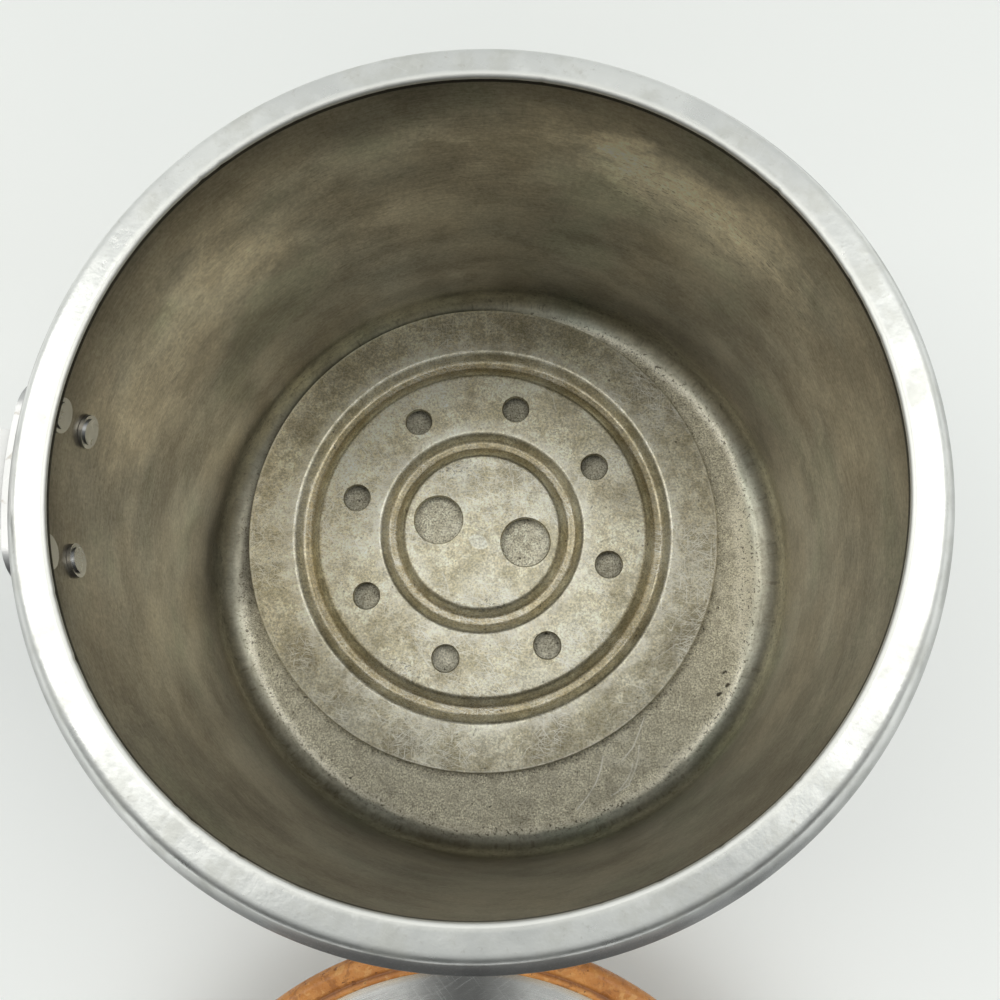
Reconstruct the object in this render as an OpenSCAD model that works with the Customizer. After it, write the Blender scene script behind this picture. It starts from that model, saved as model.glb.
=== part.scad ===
// Stove-top pressure cooker with an inside-fitting spring lid.
// The pot stands open with its steam rack on the floor; the lid lies
// upside down on the table in front of it.
// Units are millimetres. +Z is up, the origin is the centre of the pot's base,
// the long handle points along -X and the lid lies on the -Y side.

/* [Pot] */
// Outside diameter of the pot
pot_d = 203.2; // [200:0.1:208]
// Height of the rim's top above the table
pot_h = 150; // [148:0.5:154]
// Thickness of the side wall
wall_t = 2.6; // [2:0.1:3]
// Thickness of the base
base_t = 4; // [3:0.1:4]
// Diameter of the mouth inside the turned-in rim
mouth_d = 181.4; // [178:0.1:184]
// Thickness of the turned-in rim
rim_t = 2.6; // [2:0.1:3.2]
// Radius of the rim's outer corner
rim_r = 6; // [4:0.1:6.5]
// Radius of the base's outer corner
base_r = 12; // [10:0.5:13]
// Radius of the floor's inner corner
floor_r = 10; // [8:0.5:10.5]

/* [Steam rack] */
// Diameter of the rack
rack_d = 166; // [160:0.1:167]
// Thickness of the rack's sheet
rack_t = 1.2; // [1:0.1:1.2]
// Height of the rack's upper face above the table
rack_z = 8.7; // [8.5:0.1:9.5]
// How far the rack lies from the pot's axis, along X
rack_x = -5.9; // [-6:0.1:3]
// How far the rack lies from the pot's axis, along Y
rack_y = 10.3; // [-3:0.1:10.5]
// Depth of the two pressed ring grooves
groove_depth = 3.2; // [2.5:0.1:3.2]
// Half the width of a groove
groove_w = 6.1; // [5:0.1:6.5]
// Half the width of its flat bottom
groove_flat = 1.2; // [0.5:0.1:2]
// Radius of the inner groove
groove_1 = 32.0; // [31:0.1:33]
// Radius of the outer groove
groove_2 = 62.9; // [61:0.1:64]
// Radius of the circle of small holes
hole_circle = 46.3; // [46:0.1:48]
// Diameter of a small hole
small_hole_d = 9.4; // [9:0.1:10]
// Diameter of a large hole
large_hole_d = 17.3; // [17:0.1:18]
// Direction of the first small hole
hole_turn = 29.6; // [0:0.1:45]

/* [Lid] */
// Outside diameter of the gasket
gasket_d = 196; // [194:0.1:197]
// Inside diameter of the gasket's visible band
gasket_in_d = 179; // [177:0.1:182]
// Diameter of the steel disc
disc_d = 191; // [188:0.1:192]
// Thickness of the steel disc
disc_t = 1; // [0.8:0.1:1]
// Height of the gasket below the disc's inner face
gasket_low = 3; // [2:0.1:4]
// Height of the gasket above the disc's inner face
gasket_high = 4; // [3:0.1:5]
// Where the lid's centre lies, along X
lid_x = -7.6; // [-12:0.1:5]
// Where the lid's centre lies, along Y
lid_y = -214.9; // [-225:0.1:-212]

/* [Lever and regulator] */
// Height of the tallest fittings above the disc's inner face
stack_h = 41; // [41:0.5:44]
// Distance of the lever's tip from the stud
lever_len = 198; // [196:0.5:200]
// Width of the lever's grip
lever_w = 26; // [22:1:28]
// Distance of the regulator from the stud
regulator_r = 42; // [40:1:48]
// Diameter of the regulator's cap
cap_d = 26; // [24:1:28]
// Number of grip flutes on the cap
cap_flutes = 18; // [12:1:24]

/* [Handle] */
// Width of the pot handle's grip
grip_w = 26; // [24:1:28]
// Height of the pot handle's grip
grip_h = 25; // [24:1:25]
// Distance of the grip's far end from the pot's axis
grip_end = 282; // [270:1:290]
// Mean radius of the hanging ring
ring_r = 11; // [10:0.5:14]
// Radius of the hanging ring's wire
ring_wire = 1.5; // [1.2:0.1:1.6]

/* [Hidden] */
$fn = 96;
e = 0.01;

pot_r = pot_d / 2;
wall_in = pot_r - wall_t;
lift = pot_h - 136;
mouth_r = mouth_d / 2;
rack_r = rack_d / 2;

// The lid's place on the table. Turned over about the line halfway between
// lid and pot it comes down level and centred above the mouth, with the lever
// over the pot's handle, so it lies turned by twice that line's angle.
flip_turn = atan2(lid_x, -lid_y);
lid_turn = 2 * flip_turn;
lid_z = stack_h;

// Heights on the lid, counted from the disc's inner face, lid the right way up
bridge_top = 12;
hub_low = 13.3;
arm_low = 28;
arm_t = 4;
hub_top = arm_low + arm_t;
stud_r = 6;
grip_low = 20;
split_z = arm_low + arm_t / 2;

// Handle heights above the table, on a pot 136 high; the handle goes up with
// the rim by lift
grip_top = 147;
grip_mid = grip_top - grip_h / 2;
grip_start = 129.2;
catch_x = 206;
catch_z = 143.5;
eye_x = grip_end + 7.5;

aluminium = [0.62, 0.6, 0.55];
old_aluminium = [0.55, 0.53, 0.46];
steel = [0.72, 0.73, 0.75];
orange_rubber = [0.72, 0.4, 0.17];
dark_rubber = [0.15, 0.14, 0.14];
phenolic = [0.09, 0.08, 0.08];
brass = [0.76, 0.6, 0.3];

// ---------- helpers ----------

// Rounded rectangle, centred, in 2D
module round_rect(w, h, r) {
    square([w - 2 * r, h], center = true);
    square([w, h - 2 * r], center = true);
    for (sx = [-1, 1], sy = [-1, 1])
        translate([sx * (w / 2 - r), sy * (h / 2 - r)]) circle(r);
}

// Bar along +X from x0 to x1 with a rounded rectangular section
module x_bar(x0, x1, w, h, r, z) {
    translate([x0, 0, z]) rotate([90, 0, 90])
        linear_extrude(x1 - x0) round_rect(w, h, r);
}

// Round bar along +X
module x_rod(x0, x1, r, z) {
    translate([x0, 0, z]) rotate([0, 90, 0]) cylinder(r = r, h = x1 - x0);
}

// Side profile in X and Z, drawn w wide across Y
module side_plate(w) {
    translate([0, w / 2, 0]) rotate([90, 0, 0]) linear_extrude(w) children();
}

// Hexagonal bar, across flats af
module hexagon(af, h) {
    cylinder(d = af / cos(30), h = h, $fn = 6);
}

// Coil spring of round wire: a swept polyhedron of n rings, s sides each
module coil(r, wire, z0, z1, turns) {
    s = 6;
    n = turns * 12;
    function c(i) = [r * cos(30 * i), r * sin(30 * i),
                     z0 + (z1 - z0) * i / n];
    pts = [for (i = [0:n]) for (j = [0:s - 1])
        let (a = 30 * i, b = 360 * j / s)
        c(i) + wire * [cos(b) * cos(a), cos(b) * sin(a), sin(b)]];
    side = [for (i = [0:n - 1]) for (j = [0:s - 1])
        let (k = (j + 1) % s)
        [i * s + j, i * s + k, (i + 1) * s + k, (i + 1) * s + j]];
    ends = [[for (j = [s - 1:-1:0]) j], [for (j = [0:s - 1]) n * s + j]];
    polyhedron(points = pts, faces = concat(side, ends));
}

// Everything on the handle side is drawn along +X and turned to -X
module on_handle() {
    translate([0, 0, lift]) rotate([0, 0, 180]) children();
}

// The lid is drawn the right way up, lever along -X, then laid upside down
module on_lid() {
    translate([lid_x, lid_y, lid_z]) rotate([0, 0, lid_turn])
        rotate([180, 0, 0]) children();
}

// ---------- pot ----------

// Outline of the pot: solid of the outside, in radius and height
module pot_outside() {
    translate([0, base_r]) square([pot_r, pot_h - base_r - rim_r]);
    square([pot_r - base_r, base_r + e]);
    translate([pot_r - base_r, base_r]) circle(base_r);
    translate([0, pot_h - rim_r - e]) square([pot_r - rim_r, rim_r + e]);
    translate([pot_r - rim_r, pot_h - rim_r]) circle(rim_r);
}

// Outline of the inside: wall, floor corner and the groove under the rim
module pot_inside() {
    under = pot_h - rim_t;
    ur = rim_r - rim_t;
    translate([-1, base_t + floor_r])
        square([wall_in + 1, under - ur - base_t - floor_r]);
    translate([-1, base_t]) square([wall_in - floor_r + 1, floor_r + e]);
    translate([wall_in - floor_r, base_t + floor_r]) circle(floor_r);
    translate([-1, under - ur - e]) square([wall_in - ur + 1, ur + e]);
    translate([wall_in - ur, under - ur]) circle(ur);
    translate([-1, under - 1]) square([mouth_r + 1, rim_t + 2]);
}

// Small rounding of the rim's inner edge
module lip_cut(r) {
    difference() {
        translate([mouth_r - 1, pot_h - r]) square([r + 1, r + 1]);
        translate([mouth_r + r, pot_h - r]) circle(r);
    }
}

// Smaller rounding of the same edge, below
module under_cut(r) {
    z = pot_h - rim_t;
    difference() {
        translate([mouth_r - 1, z - 1]) square([r + 1, r + 1]);
        translate([mouth_r + r, z + r]) circle(r);
    }
}

module pot_shell() {
    color(aluminium)
    difference() {
        rotate_extrude($fn = 180)
        intersection() {
            square([pot_r + 1, pot_h + 1]);
            difference() {
                pot_outside();
                pot_inside();
                lip_cut(1.2);
                under_cut(0.5);
            }
        }
        on_handle() at_rivets() translate([0, 0, wall_in - 3])
            cylinder(r = rivet_r, h = 9, $fn = 32);
    }
}

// ---------- steam rack ----------

// A groove has a flat bottom and two smoothly curved flanks
flank_w = groove_w - groove_flat;
function flank(d) = d <= 0 ? 1 : d >= flank_w ? 0
    : 0.5 + 0.5 * cos(180 * d / flank_w);
function groove(r, rc) = groove_depth * flank(abs(r - rc) - groove_flat);
function rack_top(r) = -groove(r, groove_1) - groove(r, groove_2);
groove_steps = 8;
rack_radii = concat([0],
    [for (rc = [groove_1, groove_2]) for (s = [-1, 1])
        for (i = s < 0 ? [groove_steps:-1:0] : [0:groove_steps])
            rc + s * (groove_flat + flank_w * i / groove_steps)],
    [rack_r]);
rack_n = len(rack_radii);

module steam_rack() {
    color(old_aluminium)
    translate([rack_x, rack_y, rack_z])
    difference() {
        rotate_extrude($fn = 180)
            polygon(concat(
                [for (r = rack_radii) [r, rack_top(r)]],
                [for (i = [rack_n - 1:-1:0])
                    [rack_radii[i], rack_top(rack_radii[i]) - rack_t]]));
        for (k = [0:7]) rotate([0, 0, hole_turn + 45 * k])
            translate([hole_circle, 0, -rack_t - 1])
                cylinder(d = small_hole_d, h = rack_t + 2);
        translate([-15.3, 4.1, -rack_t - 1])
            cylinder(d = large_hole_d, h = rack_t + 2);
        translate([15.5, -4.2, -rack_t - 1])
            cylinder(d = large_hole_d, h = rack_t + 2);
    }
}

// ---------- handle on the pot ----------

rivet_turn = 9.4;
rivet_heights = [105, 119];
rivet_r = 2.4;

// Children placed at each rivet, with +Z pointing out of the wall
module at_rivets() {
    for (a = [-rivet_turn, rivet_turn], z = rivet_heights)
        rotate([0, 0, a]) translate([0, 0, z]) rotate([0, 90, 0]) children();
}

module handle_bracket() {
    color(steel) on_handle()
    difference() {
        union() {
            difference() {
                intersection() {
                    x_bar(90, 110, 48, 30, 8, 112);
                    cylinder(r = pot_r + 3.2, h = 200, $fn = 180);
                }
                cylinder(r = pot_r, h = 200, $fn = 180);
            }
            intersection() {
                side_plate(40) polygon([[103.4, 100], [103.4, 124],
                    [109, 127.5], [119, 144], [124, 146], [128, 146],
                    [128, 123], [121, 119], [113, 106], [108, 100]]);
                linear_extrude(160) polygon([[100, -11], [106, -11],
                    [112, -9], [130, -9], [130, 9], [112, 9],
                    [106, 11], [100, 11]]);
            }
            x_rod(123, 128, 12, grip_mid);
        }
        x_rod(114, 129, 3, grip_mid);
        at_rivets() translate([0, 0, wall_in - 3])
            cylinder(r = rivet_r, h = 12, $fn = 32);
    }
}

module bracket_rivets() {
    color(steel) on_handle() at_rivets() {
        translate([0, 0, pot_r + 3.2]) rotate_extrude($fn = 48)
            intersection() {
                translate([0, -1.9]) circle(4.6);
                square([5, 5]);
            }
        translate([0, 0, wall_in - 0.3])
            cylinder(r = rivet_r, h = wall_t + 3.6, $fn = 32);
        translate([0, 0, wall_in - 1.5]) cylinder(r = 3.2, h = 0.6, $fn = 48);
        translate([0, 0, wall_in - 1]) cylinder(r = 4.2, h = 0.9, $fn = 48);
    }
}

module flame_guard() {
    color(steel) on_handle()
    difference() {
        x_bar(128, 143, grip_w + 3.2, grip_h + 3.2, 9.6, grip_mid);
        x_bar(grip_start, 144, grip_w, grip_h, 8, grip_mid);
        x_rod(127, 131, 3.1, grip_mid);
    }
}

module handle_grip() {
    color(phenolic) on_handle()
    difference() {
        intersection() {
            x_bar(grip_start, grip_end, grip_w, grip_h, 8, grip_mid);
            // plan view: round far end
            linear_extrude(grip_top + 5) union() {
                translate([grip_start - 1, -grip_w / 2])
                    square([grip_end - grip_start + 1 - grip_w / 2, grip_w]);
                translate([grip_end - grip_w / 2, 0]) circle(grip_w / 2);
            }
            // side view: lower far corner rounded, upper corner less so
            side_plate(60) difference() {
                translate([grip_start - 1, grip_top - grip_h - 1])
                    square([grip_end - grip_start + 1, grip_h + 2]);
                translate([grip_end - 12, grip_top - grip_h - 1])
                    difference() {
                        square([13, 13]);
                        translate([0, 13]) circle(12);
                    }
            }
        }
        x_rod(grip_start - 1, grip_end + 1, 3.1, grip_mid);
        // slot for the catch
        translate([catch_x - 6, -3.2, catch_z - 3.9])
            cube([13, 6.4, 12]);
        // hole for its pin
        translate([catch_x, 20, catch_z]) rotate([90, 0, 0])
            cylinder(r = 1.5, h = 40, $fn = 48);
        // seat for its spring
        translate([catch_x + 12, 0, catch_z - 1]) cylinder(r = 3.1, h = 10);
    }
}

module handle_bolt() {
    color(steel) on_handle()
    difference() {
        union() {
            x_rod(115, grip_end + 1, 3, grip_mid);
            x_rod(grip_end, grip_end + 2, 6.5, grip_mid);
            translate([0, 2, 0]) translate([eye_x, 0, grip_mid])
                rotate([90, 0, 0]) cylinder(r = 5, h = 4);
            translate([grip_end + 1, -2, grip_mid - 4])
                cube([eye_x - grip_end - 1, 4, 8]);
        }
        translate([eye_x, 5, grip_mid]) rotate([90, 0, 0])
            cylinder(r = 2.5, h = 10);
    }
}

module hanging_ring() {
    color(steel) on_handle()
    translate([eye_x, 0, grip_mid - ring_r]) rotate([0, 90, 0])
        rotate_extrude($fn = 96) translate([ring_r, 0]) circle(ring_wire, $fn = 48);
}

module catch_hook() {
    color(steel) on_handle()
    difference() {
        side_plate(5) translate([catch_x, catch_z]) union() {
            circle(3.4);
            polygon([[-3.2, 0], [3.2, 0], [3.6, 12], [19, 13.2], [20.5, 14.6],
                [20.5, 16.4], [19, 17.4], [4, 20.5], [1, 22.6], [-9, 22.6],
                [-12.5, 20.6], [-12.5, 18.6], [-4, 18.6]]);
        }
        translate([catch_x, 10, catch_z]) rotate([90, 0, 0])
            cylinder(r = 1.55, h = 20, $fn = 48);
    }
}

module catch_pin() {
    color(steel) on_handle()
    translate([catch_x, 11.4, catch_z]) rotate([90, 0, 0])
        cylinder(r = 1.5, h = 22.8, $fn = 48);
}

module catch_spring() {
    color(steel) on_handle()
    translate([catch_x + 12, 0, catch_z]) coil(2.2, 0.4, -0.5, 11.6, 5);
}

// ---------- lid ----------

foot_y = 57;
regulator_hole_r = 4.5;
plug_x = 30;
plug_y = -50;

module lid_disc() {
    color(steel) on_lid()
    difference() {
        cylinder(r = disc_d / 2, h = disc_t, $fn = 180);
        translate([0, 0, -1]) cylinder(r = stud_r, h = 3);
        translate([regulator_r, 0, -1]) cylinder(r = regulator_hole_r, h = 3);
        translate([plug_x, plug_y, -1]) cylinder(r = 6, h = 3);
        for (sx = [-1, 1], sy = [-1, 1])
            translate([sx * 8, sy * foot_y, -1]) cylinder(r = 2.4, h = 3, $fn = 32);
    }
}

module lid_gasket() {
    w = (gasket_d - gasket_in_d) / 2;
    h = gasket_low + gasket_high;
    ro = 2.6;
    ri = 1.1;
    color(orange_rubber) on_lid()
    rotate_extrude($fn = 180)
    difference() {
        translate([gasket_in_d / 2, -gasket_low]) union() {
            translate([ri, 0]) square([w - ri - ro, h]);
            translate([0, ri]) square([w - ro, h - 2 * ri]);
            translate([ri, ri]) circle(ri);
            translate([ri, h - ri]) circle(ri);
            translate([w - ro - e, ro]) square([ro + e, h - 2 * ro]);
            translate([w - ro, ro]) circle(ro);
            translate([w - ro, h - ro]) circle(ro);
        }
        translate([gasket_in_d / 2 - 1, 0])
            square([(disc_d - gasket_in_d) / 2 + 1, disc_t]);
    }
}

module bridge_bar() {
    color(steel) on_lid()
    difference() {
        rotate([0, 0, 90]) side_plate(28) polygon([
            [-66, disc_t], [-66, disc_t + 3], [-47, disc_t + 3],
            [-34, bridge_top], [34, bridge_top], [47, disc_t + 3],
            [66, disc_t + 3], [66, disc_t], [45.5, disc_t],
            [32.5, bridge_top - 3], [-32.5, bridge_top - 3],
            [-45.5, disc_t]]);
        cylinder(r = stud_r + 0.4, h = 30);
        for (sx = [-1, 1], sy = [-1, 1])
            translate([sx * 8, sy * foot_y, -1]) cylinder(r = 2.4, h = 8, $fn = 32);
    }
}

module bridge_rivets() {
    color(steel) on_lid()
    for (sx = [-1, 1], sy = [-1, 1]) translate([sx * 8, sy * foot_y, 0]) {
        translate([0, 0, -1.2]) cylinder(r = 4, h = 1.2, $fn = 48);
        translate([0, 0, -e]) cylinder(r = 2.4, h = disc_t + 3.1, $fn = 32);
        translate([0, 0, disc_t + 3]) rotate_extrude($fn = 48)
            intersection() {
                translate([0, -1.9]) circle(4.4);
                square([5, 5]);
            }
    }
}

module centre_stud() {
    color(steel) on_lid() {
        translate([0, 0, -8]) cylinder(r = stud_r, h = 44);
        translate([0, 0, disc_t]) cylinder(r = 14, h = 2.5);
    }
}

module stud_seal() {
    color(dark_rubber) on_lid() difference() {
        translate([0, 0, -1.2]) cylinder(r = 12, h = 1.2);
        translate([0, 0, -3]) cylinder(r = stud_r, h = 5);
    }
}

module stud_nut() {
    color(steel) on_lid() difference() {
        translate([0, 0, -6.2]) hexagon(19, 5);
        translate([0, 0, -9]) cylinder(r = stud_r, h = 12);
    }
}

module thrust_washer() {
    color(brass) on_lid() difference() {
        translate([0, 0, bridge_top]) cylinder(r = 12.5, h = 1);
        cylinder(r = stud_r + 0.2, h = 20);
    }
}

module hub_nut() {
    color(steel) on_lid() difference() {
        union() {
            translate([0, 0, hub_top + 0.3]) hexagon(17, 4.5);
            intersection() {
                translate([0, 0, hub_top + 1.2]) sphere(r = 7.2);
                translate([0, 0, hub_top + 4]) cylinder(r = 9, h = 6);
            }
        }
        cylinder(r = stud_r, h = 36);
    }
}

module lever_arm() {
    color(steel) on_lid()
    difference() {
        union() {
            translate([0, 0, hub_low]) cylinder(r = 13, h = hub_top - hub_low);
            translate([-192, -9, arm_low]) cube([192, 18, arm_t]);
            translate([-lever_len + 6, -6, arm_low]) cube([10, 12, arm_t]);
            translate([-lever_len + 6, 0, arm_low]) cylinder(r = 6, h = arm_t);
        }
        translate([0, 0, hub_low - 1])
            cylinder(r = stud_r + 0.05, h = hub_top - hub_low + 2);
        for (x = [-118, -170]) translate([x, 0, arm_low - 1])
            cylinder(r = 2, h = arm_t + 2, $fn = 32);
    }
}

// Outline of the lever's grip, seen from above
module lever_grip_plan() {
    w = lever_w / 2;
    difference() {
        polygon([[-100, -w + 3], [-104, -w], [-187, -w], [-187, w],
            [-104, w], [-100, w - 3]]);
        difference() {
            translate([-188, -w - 1]) square([w + 1, lever_w + 2]);
            translate([-187 + w, 0]) circle(w);
        }
    }
}

// Section of the grip across its length, with the slot for the arm
module lever_grip_half(z0, z1) {
    difference() {
        intersection() {
            translate([0, 0, z0]) linear_extrude(z1 - z0) lever_grip_plan();
            translate([-200, 0, (grip_low + stack_h) / 2]) rotate([90, 0, 90])
                linear_extrude(110)
                    round_rect(lever_w, stack_h - grip_low, 6);
        }
        translate([-188, -9, arm_low]) cube([100, 18, arm_t]);
        for (x = [-118, -170]) translate([x, 0, 0]) {
            translate([0, 0, grip_low - 1]) cylinder(r = 2, h = 18, $fn = 32);
            translate([0, 0, grip_low - 1]) cylinder(r = 4, h = 3.5, $fn = 48);
        }
    }
}

module lever_grip_top() {
    color(phenolic) on_lid() lever_grip_half(split_z, stack_h);
}

module lever_grip_bottom() {
    color(phenolic) on_lid() lever_grip_half(grip_low, split_z);
}

module grip_screws() {
    color(steel) on_lid() for (x = [-118, -170]) translate([x, 0, 0])
    difference() {
        union() {
            translate([0, 0, grip_low + 0.6]) cylinder(r = 3.9, h = 1.9, $fn = 48);
            translate([0, 0, grip_low + 2]) cylinder(r = 1.95, h = 14.6, $fn = 32);
        }
        translate([-5, -0.5, grip_low]) cube([10, 1, 1.5]);
    }
}

// ---------- pressure regulator and safety plug ----------

tube_top = 24;

module at_regulator() { translate([regulator_r, 0, 0]) children(); }

module regulator_base() {
    color(brass) on_lid() at_regulator()
    difference() {
        union() {
            translate([0, 0, -7]) cylinder(r = regulator_hole_r, h = tube_top + 7);
            translate([0, 0, disc_t]) cylinder(r = 11, h = 2.5);
            translate([0, 0, disc_t + 2]) hexagon(19, 6);
        }
        translate([0, 0, -8]) cylinder(r = 1.9, h = tube_top + 10, $fn = 48);
    }
}

module regulator_seal() {
    color(dark_rubber) on_lid() at_regulator() difference() {
        translate([0, 0, -1.2]) cylinder(r = 9.6, h = 1.2);
        translate([0, 0, -3]) cylinder(r = regulator_hole_r, h = 5);
    }
}

module regulator_nut() {
    color(brass) on_lid() at_regulator() difference() {
        translate([0, 0, -5.4]) hexagon(16, 4.2);
        translate([0, 0, -7]) cylinder(r = regulator_hole_r, h = 8);
    }
}

module relief_plunger() {
    color(steel) on_lid() at_regulator() {
        translate([0, 0, tube_top - 4]) cylinder(r = 1.5, h = 5, $fn = 48);
        translate([0, 0, tube_top + 0.3]) cylinder(r = 5.6, h = 1.8);
        translate([0, 0, tube_top + 1]) cylinder(r = 1.8, h = 13.6, $fn = 48);
    }
}

module relief_spring() {
    color(steel) on_lid() at_regulator()
        coil(3.4, 0.5, tube_top + 2.7, 34.4, 4);
}

module regulator_cap() {
    cap_low = 14;
    color(phenolic) on_lid() at_regulator()
    difference() {
        rotate_extrude($fn = 96) difference() {
            union() {
                translate([0, cap_low]) square([cap_d / 2 - 2, stack_h - cap_low]);
                translate([0, cap_low]) square([cap_d / 2, stack_h - cap_low - 2]);
                translate([cap_d / 2 - 2, stack_h - 2]) circle(2, $fn = 64);
            }
            translate([-1, cap_low - 1]) square([regulator_hole_r + 1.05, 6]);
            translate([-1, cap_low + 4]) square([8.5, 17]);
            translate([-1, cap_low]) square([3.3, 40]);
        }
        for (k = [0:cap_flutes - 1]) rotate([0, 0, 360 * k / cap_flutes])
            translate([cap_d / 2 + 0.5, 0, cap_low - 1])
                cylinder(r = 1.3, h = 22, $fn = 24);
    }
}

module safety_plug() {
    color(dark_rubber) on_lid() translate([plug_x, plug_y, 0])
    difference() {
        rotate_extrude($fn = 64) {
            translate([0, -3]) square([8.4, 3]);
            translate([0, -e]) square([6, disc_t + 2 * e]);
            translate([0, disc_t]) square([9, 2.4]);
            translate([0, disc_t + 2]) square([6.5, 2.6]);
        }
        translate([0, 0, -5]) cylinder(r = 2, h = 20, $fn = 48);
    }
}

module safety_pin() {
    color(steel) on_lid() translate([plug_x, plug_y, 0]) {
        translate([0, 0, -4]) cylinder(r = 3.6, h = 1, $fn = 48);
        translate([0, 0, -4]) cylinder(r = 2, h = 10.6, $fn = 48);
        translate([0, 0, disc_t + 4.6]) cylinder(r = 4, h = 1.6, $fn = 48);
    }
}

// ---------- everything ----------

pot_shell();
handle_bracket();
bracket_rivets();
flame_guard();
handle_grip();
handle_bolt();
hanging_ring();
catch_hook();
catch_pin();
catch_spring();
steam_rack();
lid_disc();
lid_gasket();
bridge_bar();
bridge_rivets();
centre_stud();
stud_seal();
stud_nut();
thrust_washer();
hub_nut();
lever_arm();
lever_grip_top();
lever_grip_bottom();
grip_screws();
regulator_base();
regulator_seal();
regulator_nut();
relief_plunger();
relief_spring();
regulator_cap();
safety_plug();
safety_pin();
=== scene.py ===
import bpy
import bmesh
import math
import random
from mathutils import Vector, Matrix, noise


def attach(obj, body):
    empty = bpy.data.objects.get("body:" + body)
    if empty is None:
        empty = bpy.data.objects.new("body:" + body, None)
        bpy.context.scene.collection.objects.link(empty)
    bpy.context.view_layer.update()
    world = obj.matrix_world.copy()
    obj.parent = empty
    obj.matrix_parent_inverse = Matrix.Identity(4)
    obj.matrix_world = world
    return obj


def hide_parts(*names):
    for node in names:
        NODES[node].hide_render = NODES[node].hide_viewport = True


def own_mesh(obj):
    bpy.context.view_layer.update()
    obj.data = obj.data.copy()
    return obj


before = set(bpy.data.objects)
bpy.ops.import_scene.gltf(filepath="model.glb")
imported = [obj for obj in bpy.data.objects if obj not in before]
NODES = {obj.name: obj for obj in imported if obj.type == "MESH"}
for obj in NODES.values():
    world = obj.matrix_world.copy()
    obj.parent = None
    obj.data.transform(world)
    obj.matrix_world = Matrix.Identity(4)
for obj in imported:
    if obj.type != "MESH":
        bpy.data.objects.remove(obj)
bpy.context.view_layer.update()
MM = 0.001

# ------------------------------------------------------------------ sizes (mm)
POT_R, POT_H, WALL_T, BASE_T = 101.6, 150.0, 2.6, 4.0
MOUTH_R, RIM_T, RIM_R, BASE_R, FLOOR_R = 90.7, 2.6, 6.0, 12.0, 10.0
WALL_IN = POT_R - WALL_T
RACK_C = (-5.9, 10.3)
RACK_Z, RACK_T, RACK_R = 8.7, 1.2, 83.0
GROOVE_D = 2.9
GROOVES = ((31.8, 5.0, 4.9, 0.7), (62.4, 5.2, 5.1, 0.7))   # radius, half widths inward and outward, half width of the flat bottom
LID_C = (-7.6, -214.9)
LID_Z = 41.0
LID_TURN = 2 * math.atan2(LID_C[0], -LID_C[1])


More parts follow.
